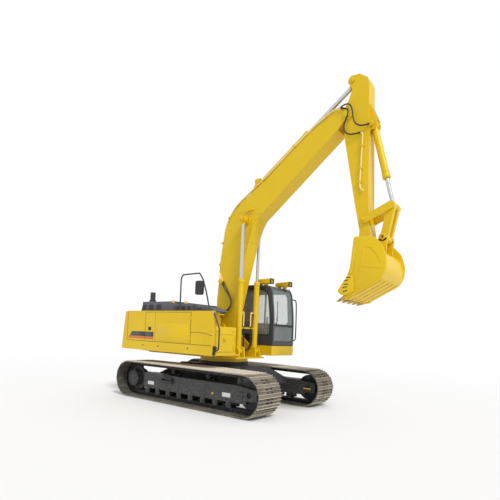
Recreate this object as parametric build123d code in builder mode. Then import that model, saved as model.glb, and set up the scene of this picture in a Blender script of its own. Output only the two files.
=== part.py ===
from build123d import *
import os
from math import atan2, cos, degrees, radians, sin, sqrt

# Crawler excavator of the 22 to 24 tonne class, parked with its boom raised.
# Millimetres, +Z up. +X is the digging direction and +Y the operator's left. The origin
# lies on the ground, on the swing axis.

os.makedirs("parts", exist_ok=True)

# Clearances
fit = 0.3  # between pieces that seat on one another
run = 7.0  # between pieces that pass one another as they move

# Tracks and side frames
track_gauge = 2400.0  # between the two track centres
shoe_width = 800.0
shoe_count = 54
tumbler_distance = 3950.0  # between sprocket and idler axles
pin_radius = 385.0  # track pins around both tumblers
shoe_underside = 45.0  # shoe plate's inner face above the track pins
shoe_plate = 13.0
grouser_height = 27.0
grouser_foot = 34.0
link_half_height = 50.0
chain_width = 190.0
carrier_lift = 14.0  # rise of the top run over the carrier rollers
side_frame_width = 330.0
side_frame_floor = 330.0
side_frame_skirt = 270.0
side_frame_top = 650.0
side_frame_rear = -1530.0
side_frame_front = 2190.0
axle_height = pin_radius + shoe_underside + shoe_plate + grouser_height
front_axle_x = tumbler_distance / 2
rear_axle_x = -tumbler_distance / 2

roller_count = 8
roller_first_x = -1400.0
roller_last_x = 1400.0
roller_tread_radius = 84.0
roller_flange_radius = 104.0
carrier_roller_xs = (-500.0, 690.0)
carrier_roller_radius = 62.0

# Car body and swing bearing
car_body_top = 960.0
car_body_floor = 480.0
bearing_outer_radius = 640.0
bearing_seam = 1050.0

# Upper frame
frame_floor = 1150.0
frame_floor_plate = 35.0
deck_underside = 1240.0
deck_plate = 40.0
house_half_width = 1480.0
house_rear_x = -2180.0
house_front_x = 957.0
house_top = 2250.0
door_sill = 1470.0  # seam between the skirt and the doors above it
skirt_floor = 1245.0
skirt_plate = 40.0
panel = 30.0  # thickness of doors and fixed panels
latch_gap = 6.0  # round each door
girder_inner_y = 208.0
girder_plate = 40.0

# Pins of boom, arm, bucket and cylinders, in the side view (x, z)
boom_foot = (40.0, 1860.0)
boom_cylinder_foot = (740.0, 1330.0)
boom_cylinder_eye = (740.0, 4600.0)
arm_cylinder_base = (1000.0, 5530.0)
arm_pivot = (3340.0, 6510.0)
arm_cylinder_eye = (3420.0, 7220.0)
bucket_cylinder_base = (3890.0, 6190.0)
link_pin = (4375.0, 4440.0)
side_link_pin = (3830.0, 4215.0)
bucket_pin = (3850.0, 3800.0)
bucket_link_pin = (4255.0, 3815.0)

# Widths across the attachment, half values measured from the centre plane
boom_half = 200.0
boom_fork_plate = 35.0
arm_half = 158.0
eye_half = 55.0  # eyes of the arm and bucket cylinders
ear_gap = 7.0
bucket_ear_plate = 38.0
side_link_plate = 34.0
boom_cylinder_y = 325.0
boom_cylinder_eye_half = 70.0

# Cylinders: barrel radius, rod radius, eye radius
boom_barrel_radius = 70.0
boom_rod_radius = 42.0
arm_barrel_radius = 82.0
arm_rod_radius = 50.0
bucket_barrel_radius = 72.0
bucket_rod_radius = 40.0
boom_barrel_length = 1790.0
arm_barrel_length = 1600.0
bucket_barrel_length = 1180.0
boom_rod_length = 1650.0
arm_rod_length = 1700.0
bucket_rod_length = 1290.0

# Bucket
bucket_half = 555.0
bucket_plate = 28.0
tooth_count = 5
tooth_tip = (3460.0, 2517.0)

# Hinges of doors and lids
knuckle_radius = 9.0
knuckle_height = 60.0
hinge_leaf = 45.0
leaf_thickness = 5.0
hinge_stand = knuckle_radius + 2.5  # hinge axis in front of the face it serves

# Cab
cab_right_y = 500.0
cab_left_y = 1480.0
cab_floor = 1490.0
cab_wall = 50.0
cab_rear_x = -620.0
cab_front_x = 1195.0
cab_top = 3085.0
glass = 6.0


def along_y(y):
    """Plane of the side view whose sketches extrude towards -Y from the given y."""
    return Plane.XZ.offset(-y)


def hinge_half(x, y, z, along, facing, lying=False):
    """Knuckle and leaf of a hinge whose axis starts at (x, y, z) and stands, or lies along -Y.

    The leaf runs along one direction from the axis, flat against a face that looks in the other.
    Both are given across the axis: X and Y where it stands, X and Z where it lies.
    """
    end_plane = Plane(origin=(x, y, z), x_dir=(1, 0, 0), z_dir=(0, -1, 0) if lying else (0, 0, 1))
    with BuildPart() as half_hinge:
        with BuildSketch(end_plane):
            Circle(knuckle_radius)
            with Locations((
                along[0] * hinge_leaf / 2 - facing[0] * knuckle_radius,
                along[1] * hinge_leaf / 2 - facing[1] * knuckle_radius,
            )):
                Rectangle(
                    abs(along[0]) * hinge_leaf + abs(facing[0]) * leaf_thickness,
                    abs(along[1]) * hinge_leaf + abs(facing[1]) * leaf_thickness,
                )
        extrude(amount=knuckle_height)
    return half_hinge.part


def save(part, name):
    part.label = name
    export_step(part, "parts/" + name + ".step")


def bearing_angle(a, b):
    """Angle of the line from a to b in the side view, in degrees."""
    return degrees(atan2(b[1] - a[1], b[0] - a[0]))


# Track loop: pin line of straight runs and arcs, driven round by the pitch
run_floor = axle_height - pin_radius
run_top = axle_height + pin_radius
with BuildLine() as pin_line:
    Line((rear_axle_x, run_floor), (front_axle_x, run_floor))
    ThreePointArc((front_axle_x, run_floor), (front_axle_x + pin_radius, axle_height), (front_axle_x, run_top))
    Line((front_axle_x, run_top), (carrier_roller_xs[1], run_top + carrier_lift))
    Line((carrier_roller_xs[1], run_top + carrier_lift), (carrier_roller_xs[0], run_top + carrier_lift))
    Line((carrier_roller_xs[0], run_top + carrier_lift), (rear_axle_x, run_top))
    ThreePointArc((rear_axle_x, run_top), (rear_axle_x - pin_radius, axle_height), (rear_axle_x, run_floor))
pin_wire = pin_line.wire()
track_pins = [pin_wire.position_at(i / shoe_count) for i in range(shoe_count)]


def track_points(height):
    """Corners of the loop at one height over the pins, one for each pin."""
    corners = []
    for i in range(shoe_count):
        before = track_pins[i - 1]
        here = track_pins[i]
        after = track_pins[(i + 1) % shoe_count]
        chord = (after - before).normalized()
        corners.append((here.X + chord.Y * height, here.Y - chord.X * height))
    return corners


def shoe_outline():
    """Outer outline of the shoes: three grousers standing on each flat plate."""
    points = []
    base = shoe_underside + shoe_plate
    for i in range(shoe_count):
        here = track_pins[i]
        after = track_pins[(i + 1) % shoe_count]
        chord = (after - here).normalized()
        pitch = (after - here).length
        shoe = (
            # share of the pitch, height
            (0.03, base),
            (0.10, base + grouser_height),
            (0.10 + grouser_foot / 2 / pitch, base),
            (0.46, base),
            (0.50, base + grouser_height),
            (0.50 + grouser_foot / 2 / pitch, base),
            (0.84, base),
            (0.90, base + grouser_height),
            (0.97, base),
        )
        for share, height in shoe:
            point = here + chord * (share * pitch)
            points.append((point.X + chord.Y * height, point.Y - chord.X * height))
    return points


for side_name, side in (("left", 1), ("right", -1)):
    center_y = side * track_gauge / 2
    with BuildPart() as track:
        with BuildSketch(along_y(center_y + shoe_width / 2)):
            Polygon(*shoe_outline(), align=None)
            Polygon(*track_points(shoe_underside), align=None, mode=Mode.SUBTRACT)
        extrude(amount=shoe_width)
        with BuildSketch(along_y(center_y + chain_width / 2)):
            Polygon(*track_points(shoe_underside + 1), align=None)
            Polygon(*track_points(-link_half_height), align=None, mode=Mode.SUBTRACT)
        extrude(amount=chain_width)
    save(track.part, "track_" + side_name)

# Sprockets with their final drive covers, one on each side
track_pitch = (track_pins[1] - track_pins[0]).length
chord_drop = pin_radius - sqrt(pin_radius ** 2 - (track_pitch / 2) ** 2)
sprocket_root = pin_radius - chord_drop - link_half_height - 4
sprocket_plate = 62.0
motor_radius = 205.0
motor_cover = 20.0
side_frame_plate = 30.0
with BuildPart() as final_drives:
    for side in (1, -1):
        center_y = side * track_gauge / 2
        with BuildSketch(along_y(center_y + sprocket_plate / 2)):
            with Locations((rear_axle_x, axle_height)):
                Circle(sprocket_root)
        extrude(amount=sprocket_plate)
        inner_y = center_y - side * (side_frame_width / 2 - side_frame_plate - fit)
        outer_y = center_y + side * (side_frame_width / 2 + motor_cover)
        with BuildSketch(along_y(max(inner_y, outer_y))):
            with Locations((rear_axle_x, axle_height)):
                Circle(motor_radius)
        extrude(amount=abs(outer_y - inner_y))
save(final_drives.part, "final_drives")

# Idlers
idler_width = 150.0
idler_radius = pin_radius - chord_drop - link_half_height - 1
with BuildPart() as idlers:
    for side in (1, -1):
        center_y = side * track_gauge / 2
        with BuildSketch(along_y(center_y + idler_width / 2)):
            with Locations((front_axle_x, axle_height)):
                Circle(idler_radius)
        extrude(amount=idler_width)
        with BuildSketch(along_y(center_y + side_frame_width / 2 - 32)):
            with Locations((front_axle_x, axle_height)):
                Circle(62)
        extrude(amount=side_frame_width - 64)
save(idlers.part, "idlers")

# Track rollers under each side frame
roller_z = run_floor + link_half_height + roller_tread_radius + 1
roller_pitch = (roller_last_x - roller_first_x) / (roller_count - 1)
with BuildPart() as track_rollers:
    for side in (1, -1):
        for i in range(roller_count):
            x = roller_first_x + i * roller_pitch
            center_y = side * track_gauge / 2
            for radius, width in ((roller_tread_radius, 250.0), (48.0, side_frame_width - 2 * fit)):
                with BuildSketch(along_y(center_y + width / 2)):
                    with Locations((x, roller_z)):
                        Circle(radius)
                extrude(amount=width)
save(track_rollers.part, "track_rollers")

# Carrier rollers on top of each side frame
carrier_z = run_top + carrier_lift - link_half_height - carrier_roller_radius - 1
with BuildPart() as carrier_rollers:
    for side in (1, -1):
        for x in carrier_roller_xs:
            center_y = side * track_gauge / 2
            with BuildSketch(along_y(center_y + 90)):
                with Locations((x, carrier_z)):
                    Circle(carrier_roller_radius)
            extrude(amount=180)
            with BuildSketch(along_y(center_y + 112)):
                with Locations((x, carrier_z)):
                    Circle(24)
            extrude(amount=224)
            with BuildSketch(Plane.XY.offset(side_frame_top)):
                with Locations((x, center_y - side * 112)):
                    Rectangle(90, 42)
            extrude(amount=carrier_z + 30 - side_frame_top)
save(carrier_rollers.part, "carrier_rollers")

# Side frames: a box over the rollers, forked round sprocket and idler
yoke_inner = idler_width / 2 + 12
with BuildPart() as side_frames:
    for side in (1, -1):
        center_y = side * track_gauge / 2
        outline = (
            (side_frame_rear, side_frame_floor),
            (side_frame_front - 560, side_frame_floor),
            (side_frame_front, side_frame_floor + 20),
            (side_frame_front, side_frame_floor + 260),
            (side_frame_front - 560, side_frame_top),
            (side_frame_rear, side_frame_top),
        )
        with BuildSketch(along_y(center_y + side_frame_width / 2)):
            Polygon(*outline, align=None)
        extrude(amount=side_frame_width)
        # Yoke round the idler
        with BuildSketch(along_y(center_y + yoke_inner)):
            with Locations((front_axle_x + 150, axle_height)):
                Rectangle(2 * (idler_radius + 30) + 300, 1000)
        extrude(amount=2 * yoke_inner, mode=Mode.SUBTRACT)
        # Side walls below the box, with a saddle at each roller shaft
        for plate_y in (side_frame_width / 2, -side_frame_width / 2 + side_frame_plate):
            with BuildSketch(along_y(center_y + plate_y)):
                with Locations(((side_frame_rear + 1900) / 2, (side_frame_skirt + side_frame_floor + 2) / 2)):
                    Rectangle(1900 - side_frame_rear, side_frame_floor + 2 - side_frame_skirt)
                for i in range(roller_count):
                    with Locations((roller_first_x + i * roller_pitch, (roller_z + side_frame_skirt - 48) / 2)):
                        Rectangle(130, side_frame_skirt + 50 - roller_z + 54)
            extrude(amount=side_frame_plate)
        # Carrier of the final drive, on the inner side
        with BuildSketch(along_y(center_y - side * side_frame_width / 2 + (side_frame_plate if side > 0 else 0))):
            with Locations((rear_axle_x, axle_height)):
                Circle(motor_radius + 25)
            Polygon(
                (rear_axle_x, axle_height - 170),
                (side_frame_rear + 2, side_frame_floor + 10),
                (side_frame_rear + 2, side_frame_top - 10),
                (rear_axle_x, axle_height + 170),
                align=None,
            )
        extrude(amount=side_frame_plate)
    for side in (1, -1):
        center_y = side * track_gauge / 2
        with BuildSketch(along_y(center_y + side_frame_width / 2 + 1)):
            for i in range(roller_count):
                with Locations((roller_first_x + i * roller_pitch, roller_z)):
                    Circle(48 + fit)
            with Locations((front_axle_x, axle_height)):
                Circle(62 + fit)
        extrude(amount=side_frame_width + 2, mode=Mode.SUBTRACT)
save(side_frames.part, "side_frames")

# Car body: a drum on four legs that carry the side frames
tow_x = 680.0
tow_z = 620.0
tow_bore = 32.0
tow_plate = 50.0
leg_root = 330.0
leg_foot_x = 1150.0
leg_foot_half = 210.0
side_frame_inner_y = track_gauge / 2 - side_frame_width / 2
with BuildPart() as car_body:
    with BuildSketch(Plane.XY.offset(car_body_floor)):
        Circle(bearing_outer_radius - 30)
        for sx in (1, -1):
            for sy in (1, -1):
                Polygon(
                    (sx * -60, sy * leg_root),
                    (sx * (leg_foot_x - leg_foot_half), sy * side_frame_inner_y),
                    (sx * (leg_foot_x + leg_foot_half), sy * side_frame_inner_y),
                    (sx * 560, sy * -60),
                    align=None,
                )
    extrude(amount=car_body_top - car_body_floor)
    with BuildSketch(Plane.YZ.offset(-1600)):
        Polygon(
            (-side_frame_inner_y, 520),
            (-side_frame_inner_y, 640),
            (-560, car_body_top),
            (560, car_body_top),
            (side_frame_inner_y, 640),
            (side_frame_inner_y, 520),
            (560, car_body_floor),
            (-560, car_body_floor),
            align=None,
        )
    extrude(amount=3200, mode=Mode.INTERSECT)
    # Tow lugs in front and behind, flat plates with an upright bore for a shackle's pin
    with BuildSketch(Plane.XY.offset(tow_z - tow_plate / 2)):
        for sx in (1, -1):
            with Locations((sx * (tow_x - 60), 0)):
                Rectangle(120, 150)
            with Locations((sx * tow_x, 0)):
                Circle(75)
        for sx in (1, -1):
            with Locations((sx * tow_x, 0)):
                Circle(tow_bore, mode=Mode.SUBTRACT)
    extrude(amount=tow_plate)
save(car_body.part, "car_body")

# Swing bearing ring, bolted on the car body
with BuildPart() as swing_bearing:
    with BuildSketch(Plane.XY.offset(car_body_top)):
        Circle(bearing_outer_radius)
    extrude(amount=bearing_seam - car_body_top)
save(swing_bearing.part, "swing_bearing")

# Upper frame: floor plate, two girders with the boom brackets, deck and side rails
girder_outline = (
    (house_rear_x + 10, frame_floor),
    (house_rear_x + 10, deck_underside + deck_plate),
    (-640, deck_underside + deck_plate),
    (-420, 1480),
    (boom_foot[0] - 190, boom_foot[1] + 40),
    (boom_foot[0] - 90, boom_foot[1] + 150),
    (boom_foot[0] + 90, boom_foot[1] + 150),
    (boom_foot[0] + 200, boom_foot[1] + 10),
    (boom_cylinder_foot[0] - 60, boom_cylinder_foot[1] + 150),
    (boom_cylinder_foot[0] + 110, boom_cylinder_foot[1] + 110),
    (boom_cylinder_foot[0] + 150, frame_floor),
)
outer_ear_y = boom_cylinder_y + boom_cylinder_eye_half + run
with BuildPart() as main_frame:
    with BuildSketch(Plane.XY.offset(frame_floor)):
        Polygon(
            (house_rear_x + 10, -760),
            (600, -760),
            (boom_cylinder_foot[0] + 150, -560),
            (boom_cylinder_foot[0] + 150, 560),
            (600, 760),
            (house_rear_x + 10, 760),
            align=None,
        )
    extrude(amount=frame_floor_plate)
    with BuildSketch(Plane.XY.offset(bearing_seam + fit)):
        Circle(bearing_outer_radius - 15)
    extrude(amount=frame_floor - bearing_seam)
    for plate_y in (girder_inner_y + girder_plate, -girder_inner_y):
        with BuildSketch(along_y(plate_y)):
            Polygon(*girder_outline, align=None)
        extrude(amount=girder_plate)
    for plate_y in (outer_ear_y + girder_plate, -outer_ear_y):
        with BuildSketch(along_y(plate_y)):
            Polygon(
                (boom_cylinder_foot[0] - 320, frame_floor),
                (boom_cylinder_foot[0] - 120, boom_cylinder_foot[1] + 60),
                (boom_cylinder_foot[0] - 50, boom_cylinder_foot[1] + 115),
                (boom_cylinder_foot[0] + 50, boom_cylinder_foot[1] + 115),
                (boom_cylinder_foot[0] + 115, boom_cylinder_foot[1] + 40),
                (boom_cylinder_foot[0] + 150, frame_floor),
                align=None,
            )
        extrude(amount=girder_plate)
    # Deck to the right of the boom and, further forward, under the cab
    with BuildSketch(Plane.XY.offset(deck_underside)):
        with Locations(((house_rear_x + house_front_x) / 2, -(house_half_width + 560) / 2)):
            Rectangle(house_front_x - house_rear_x, house_half_width - 560)
        with Locations(((house_rear_x + cab_front_x) / 2, (house_half_width + 470) / 2)):
            Rectangle(cab_front_x - house_rear_x, house_half_width - 470)
        with Locations(((house_rear_x - 480) / 2, 0)):
            Rectangle(-480 - house_rear_x, 2 * house_half_width)
    extrude(amount=deck_plate)
    # Outriggers under the deck
    for x in (-1900, -1100, -300, 450):
        with BuildSketch(Plane.YZ.offset(x)):
            Polygon(
                (-house_half_width + 60, deck_underside + 1),
                (-700, frame_floor + 5),
                (-700, deck_underside + 1),
                align=None,
            )
            Polygon(
                (house_half_width - 60, deck_underside + 1),
                (700, frame_floor + 5),
                (700, deck_underside + 1),
                align=None,
            )
        extrude(amount=24)
    # Skirts along both sides and round the cab's base
    for y_outer, x_front in ((house_half_width, cab_front_x), (-house_half_width + skirt_plate, house_front_x)):
        with BuildSketch(along_y(y_outer)):
            with Locations(((house_rear_x + x_front) / 2, (skirt_floor + door_sill - fit) / 2)):
                Rectangle(x_front - house_rear_x, door_sill - fit - skirt_floor)
        extrude(amount=skirt_plate)
    with BuildSketch(Plane.YZ.offset(cab_front_x - skirt_plate)):
        with Locations(((470 + house_half_width) / 2, (skirt_floor + cab_floor - fit) / 2)):
            Rectangle(house_half_width - 470, cab_floor - fit - skirt_floor)
    extrude(amount=skirt_plate)
    with BuildSketch(along_y(cab_right_y + 10)):
        with Locations(((cab_rear_x + cab_front_x) / 2, (skirt_floor + cab_floor - fit) / 2)):
            Rectangle(cab_front_x - cab_rear_x, cab_floor - fit - skirt_floor)
    extrude(amount=skirt_plate)
    # Bores of the boom foot pin and the cylinder foot pins
    with BuildSketch(along_y(600)):
        with Locations(boom_foot):
            Circle(55 + fit)
        with Locations(boom_cylinder_foot):
            Circle(45 + fit)
    extrude(amount=1200, mode=Mode.SUBTRACT)
save(main_frame.part, "main_frame")

# Counterweight: lofted from a wide foot to a shorter top, its tail round the swing axis
tail_radius = 2900.0
counterweight_floor = skirt_floor
counterweight_top = 2235.0


corner = 230.0
tail_sections = (
    # height, x of the rear corners, tail radius
    (counterweight_floor, -2560.0, tail_radius),
    (counterweight_top, -2430.0, tail_radius - 130),
)
half = house_half_width
with BuildPart() as counterweight:
    for z, x_corner, tail in tail_sections:
        with BuildSketch(Plane.XY.offset(z)):
            with BuildLine():
                Polyline(
                    (x_corner + corner, -half),
                    (house_rear_x - fit, -half),
                    (house_rear_x - fit, half),
                    (x_corner + corner, half),
                )
                ThreePointArc(
                    (x_corner + corner, half),
                    (x_corner + corner * 0.22, half - corner * 0.3),
                    (x_corner - 10, half - corner),
                )
                ThreePointArc((x_corner - 10, half - corner), (-tail, 0), (x_corner - 10, -half + corner))
                ThreePointArc(
                    (x_corner - 10, -half + corner),
                    (x_corner + corner * 0.22, -half + corner * 0.3),
                    (x_corner + corner, -half),
                )
            make_face()
    loft()
save(counterweight.part, "counterweight")

# Engine, as one plain block on its mounts
with BuildPart() as engine_block:
    with BuildSketch(Plane.XY.offset(deck_underside + deck_plate)):
        with Locations((-1350, 0)):
            Rectangle(900, 1250)
    extrude(amount=760)
save(engine_block.part, "engine_block")

# House: fixed panels and top deck with the opening that the hood covers
hood_front_x = -760.0
hood_rear_x = -2080.0
hood_right_y = -1100.0
hood_left_y = 1180.0
hood_hinge_ys = (900.0, 0.0, -820.0)
hood_hinge_x = hood_rear_x - hinge_stand
hood_hinge_z = house_top + hinge_stand
right_door_rear_x = -1420.0
right_door_front_x = 240.0
door_hinge_zs = (1560.0, 2050.0)
tank_rear_x = right_door_front_x + latch_gap + 2
left_door_rear_x = -2080.0
left_door_front_x = -1000.0
left_post = 60.0  # between the two left doors
left_front_door_front_x = cab_rear_x - 30
house_floor = deck_underside + deck_plate
inner_half_width = house_half_width - skirt_plate - fit
with BuildPart() as house_panels:
    with BuildSketch(Plane.XY.offset(house_top - panel)):
        with Locations(((house_rear_x + 235) / 2, -(house_half_width + 330) / 2)):
            Rectangle(235 - house_rear_x, house_half_width - 330)
        with Locations(((house_rear_x + cab_rear_x - 40) / 2, 0)):
            Rectangle(cab_rear_x - 40 - house_rear_x, 2 * house_half_width)
        with Locations(((hood_front_x + hood_rear_x) / 2, (hood_right_y + hood_left_y) / 2)):
            Rectangle(hood_front_x - hood_rear_x - 60, hood_left_y - hood_right_y - 60, mode=Mode.SUBTRACT)
    extrude(amount=panel)
    # Right side, behind the door
    with BuildSketch(along_y(-house_half_width + panel)):
        with Locations(((house_rear_x + right_door_rear_x - latch_gap) / 2, (door_sill + house_top) / 2)):
            Rectangle(right_door_rear_x - latch_gap - house_rear_x, house_top - door_sill)
    extrude(amount=panel)
    # Left side, behind and between the doors
    with BuildSketch(along_y(house_half_width)):
        with Locations(((house_rear_x + left_door_rear_x - latch_gap) / 2, (door_sill + house_top) / 2)):
            Rectangle(left_door_rear_x - latch_gap - house_rear_x, house_top - door_sill)
    extrude(amount=panel)
    # Rear bulkhead and the wall between engine and pump room
    for x in (house_rear_x, right_door_rear_x + 60):
        with BuildSketch(Plane.YZ.offset(x)):
            with Locations((0, (house_floor + house_top - panel) / 2)):
                Rectangle(2 * inner_half_width, house_top - panel - house_floor)
            if x > house_rear_x:
                with Locations((300, (house_floor + house_top) / 2)):
                    Rectangle(2000, house_top - house_floor + 200, mode=Mode.SUBTRACT)
        extrude(amount=panel)
    # Front wall of the left bay, behind the cab, and inner wall beside the boom
    with BuildSketch(Plane.YZ.offset(cab_rear_x - 70)):
        with Locations(((250 + inner_half_width) / 2, (house_floor + house_top - panel) / 2)):
            Rectangle(inner_half_width - 250, house_top - panel - house_floor)
    extrude(amount=panel)
    with BuildSketch(along_y(-330)):
        with Locations((-640, (house_floor + house_top - panel) / 2)):
            Rectangle(440, house_top - panel - house_floor)
    extrude(amount=panel)
    # Post between the left doors, and the fixed halves of their hinges
    with BuildSketch(along_y(house_half_width)):
        with Locations((left_door_front_x - left_post / 2, (door_sill + house_top - panel) / 2)):
            Rectangle(left_post - 2 * latch_gap, house_top - panel - door_sill)
    extrude(amount=panel)
    for x in (left_door_rear_x, left_door_front_x):
        for z in door_hinge_zs:
            add(hinge_half(x - latch_gap / 2, house_half_width + hinge_stand, z, (-1, 0), (0, 1)))
    # Fixed halves of the hood's hinges, lying on the top behind it
    for y in hood_hinge_ys:
        add(hinge_half(hood_hinge_x, y, hood_hinge_z, (-1, 0), (0, 1), lying=True))
save(house_panels.part, "house_panels")

# Hood over the engine, hinged along its rear edge
hood_top = 2520.0
hood_gap = 0.5
with BuildPart() as engine_hood:
    with BuildSketch(Plane.XY.offset(house_top + hood_gap)):
        with Locations(((hood_front_x + hood_rear_x) / 2, (hood_right_y + hood_left_y) / 2)):
            Rectangle(hood_front_x - hood_rear_x, hood_left_y - hood_right_y)
    extrude(amount=hood_top - house_top - hood_gap)
    bottom = engine_hood.faces().sort_by(Axis.Z)[0]
    offset(amount=-25, openings=bottom)
    for y in hood_hinge_ys:
        moved_y = y - knuckle_height - fit
        add(hinge_half(hood_hinge_x, moved_y, hood_hinge_z, (0, 1), (-1, 0), lying=True))
save(engine_hood.part, "engine_hood")

# Side doors, each on two hinges
door_table = (
    # name, side, rear x, front x, floor z, top z
    ("right_rear_door", -1, right_door_rear_x, right_door_front_x, door_sill + latch_gap, house_top - panel - latch_gap),
    ("left_rear_door", 1, left_door_rear_x, left_door_front_x - left_post, door_sill + latch_gap, house_top - panel - latch_gap),
    ("left_front_door", 1, left_door_front_x, left_front_door_front_x - latch_gap, door_sill + latch_gap, house_top - panel - latch_gap),
)
for name, side, x0, x1, z0, z1 in door_table:
    hinge_x = x1 + latch_gap / 2 if side < 0 else x0 - latch_gap / 2
    with BuildPart() as door:
        with BuildSketch(along_y(house_half_width if side > 0 else -house_half_width + panel)):
            with Locations(((x0 + x1) / 2, (z0 + z1) / 2)):
                Rectangle(x1 - x0, z1 - z0)
        extrude(amount=panel)
        for z in door_hinge_zs:
            hinge_y = side * (house_half_width + hinge_stand)
            add(hinge_half(hinge_x, hinge_y, z + knuckle_height + fit, (side, 0), (0, side)))
    save(door.part, name)

# Fuel tank behind the right front corner, its cheek plate reaching forward
tank_front_x = 600.0
tank_inner_y = -880.0
cheek_plate = 60.0
with BuildPart() as fuel_tank:
    with BuildSketch(Plane.XY.offset(house_floor)):
        with Locations(((tank_rear_x + tank_front_x) / 2, (-inner_half_width + tank_inner_y) / 2)):
            Rectangle(tank_front_x - tank_rear_x, tank_inner_y + inner_half_width)
    extrude(amount=house_top - house_floor)
    with BuildSketch(Plane.XY.offset(door_sill)):
        with Locations(((tank_rear_x + house_front_x) / 2, -house_half_width + cheek_plate / 2)):
            Rectangle(house_front_x - tank_rear_x, cheek_plate)
    extrude(amount=house_top - door_sill)
    for z in door_hinge_zs:
        add(hinge_half(right_door_front_x + latch_gap / 2, -house_half_width - hinge_stand, z, (1, 0), (0, -1)))
save(fuel_tank.part, "fuel_tank")

# Tool box in front of the tank, its lid facing forward
box_top = 1910.0
box_inner_y = -680.0
box_outer_y = -house_half_width + cheek_plate + fit
lid_floor = 1330.0
lid_top = 1725.0
lid_hinge_zs = (1350.0, 1570.0)
lid_right_y = -1385.0
lid_left_y = -740.0
with BuildPart() as tool_box:
    with BuildSketch(Plane.XY.offset(house_floor)):
        with Locations(((tank_front_x + fit + house_front_x) / 2, (box_outer_y + box_inner_y) / 2)):
            Rectangle(house_front_x - tank_front_x - fit, box_inner_y - box_outer_y)
    extrude(amount=box_top - house_floor)
    with BuildSketch(Plane.YZ.offset(tank_front_x + 40)):
        with Locations(((lid_right_y + lid_left_y) / 2, (lid_floor + lid_top) / 2)):
            Rectangle(lid_left_y - lid_right_y + 2 * latch_gap, lid_top - lid_floor + 2 * latch_gap)
    extrude(amount=house_front_x, mode=Mode.SUBTRACT)
    for z in lid_hinge_zs:
        add(hinge_half(house_front_x + hinge_stand, lid_left_y + latch_gap / 2, z, (0, 1), (1, 0)))
save(tool_box.part, "tool_box")

with BuildPart() as tool_box_lid:
    with BuildSketch(Plane.YZ.offset(house_front_x - panel)):
        with Locations(((lid_right_y + lid_left_y) / 2, (lid_floor + lid_top) / 2)):
            Rectangle(lid_left_y - lid_right_y, lid_top - lid_floor)
    extrude(amount=panel)
    for z in lid_hinge_zs:
        lower_z = z + knuckle_height + fit
        add(hinge_half(house_front_x + hinge_stand, lid_left_y + latch_gap / 2, lower_z, (0, -1), (1, 0)))
save(tool_box_lid.part, "tool_box_lid")

# Hydraulic tank beside the boom
with BuildPart() as hydraulic_tank:
    with BuildSketch(Plane.XY.offset(house_floor)):
        with Locations((-90, -640)):
            Rectangle(560, 480)
    extrude(amount=860)
save(hydraulic_tank.part, "hydraulic_tank")

# Dark covers on the right deck, raised beside the hood and stepping down forwards
with BuildPart() as deck_covers:
    with BuildSketch(along_y(hood_right_y - 10)):
        Polygon(
            (-2060, house_top + fit),
            (-2020, hood_top),
            (-790, hood_top),
            (-720, 2430),
            (235, 2395),
            (235, house_top + fit),
            align=None,
        )
    extrude(amount=290)
    with BuildSketch(along_y(-420)):
        Polygon((-725, house_top + fit), (-725, 2428), (235, 2393), (235, house_top + fit), align=None)
    extrude(amount=700)
    with BuildSketch(along_y(tank_inner_y)):
        Polygon((230, house_top + fit), (230, 2350), (560, 2330), (595, house_top + fit), align=None)
    extrude(amount=510)
save(deck_covers.part, "deck_covers")

# Cab shell: roof, posts, floor and lower walls, with the window and door openings cut
cab_outline = (
    (cab_rear_x, cab_floor),
    (cab_front_x - 25, cab_floor),
    (cab_front_x, cab_floor + 60),
    (1130, 2870),
    (1040, 3030),
    (900, cab_top),
    (cab_rear_x + 60, cab_top),
    (cab_rear_x, cab_top - 90),
)
cab_inner = (
    (cab_rear_x + cab_wall, cab_floor + cab_wall),
    (cab_front_x - 25 - cab_wall, cab_floor + cab_wall),
    (cab_front_x - cab_wall - 10, cab_floor + 110),
    (1130 - cab_wall, 2850),
    (1005, 2985),
    (885, cab_top - cab_wall),
    (cab_rear_x + 85, cab_top - cab_wall),
    (cab_rear_x + cab_wall, cab_top - 115),
)
door_window = (
    (-60, 2080),
    (960, 2080),
    (1020, 2150),
    (960, 2820),
    (900, 2920),
    (0, 2930),
    (-60, 2880),
)
side_window = (
    (-430, 1900),
    (1010, 1900),
    (1060, 1960),
    (1000, 2800),
    (930, 2925),
    (-360, 2940),
    (-430, 2880),
)
cab_door_rear_x = -120.0
cab_door_gap = 5.0
cab_hinge_x = cab_door_rear_x + cab_door_gap / 2
cab_hinge_zs = (1660.0, 2600.0)
door_outline = (
    (cab_door_rear_x, cab_floor + 70),
    (1020, cab_floor + 70),
    (1095, cab_floor + 140),
    (1035, 2870),
    (950, 2985),
    (-60, 2995),
    (cab_door_rear_x, 2940),
)
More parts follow.
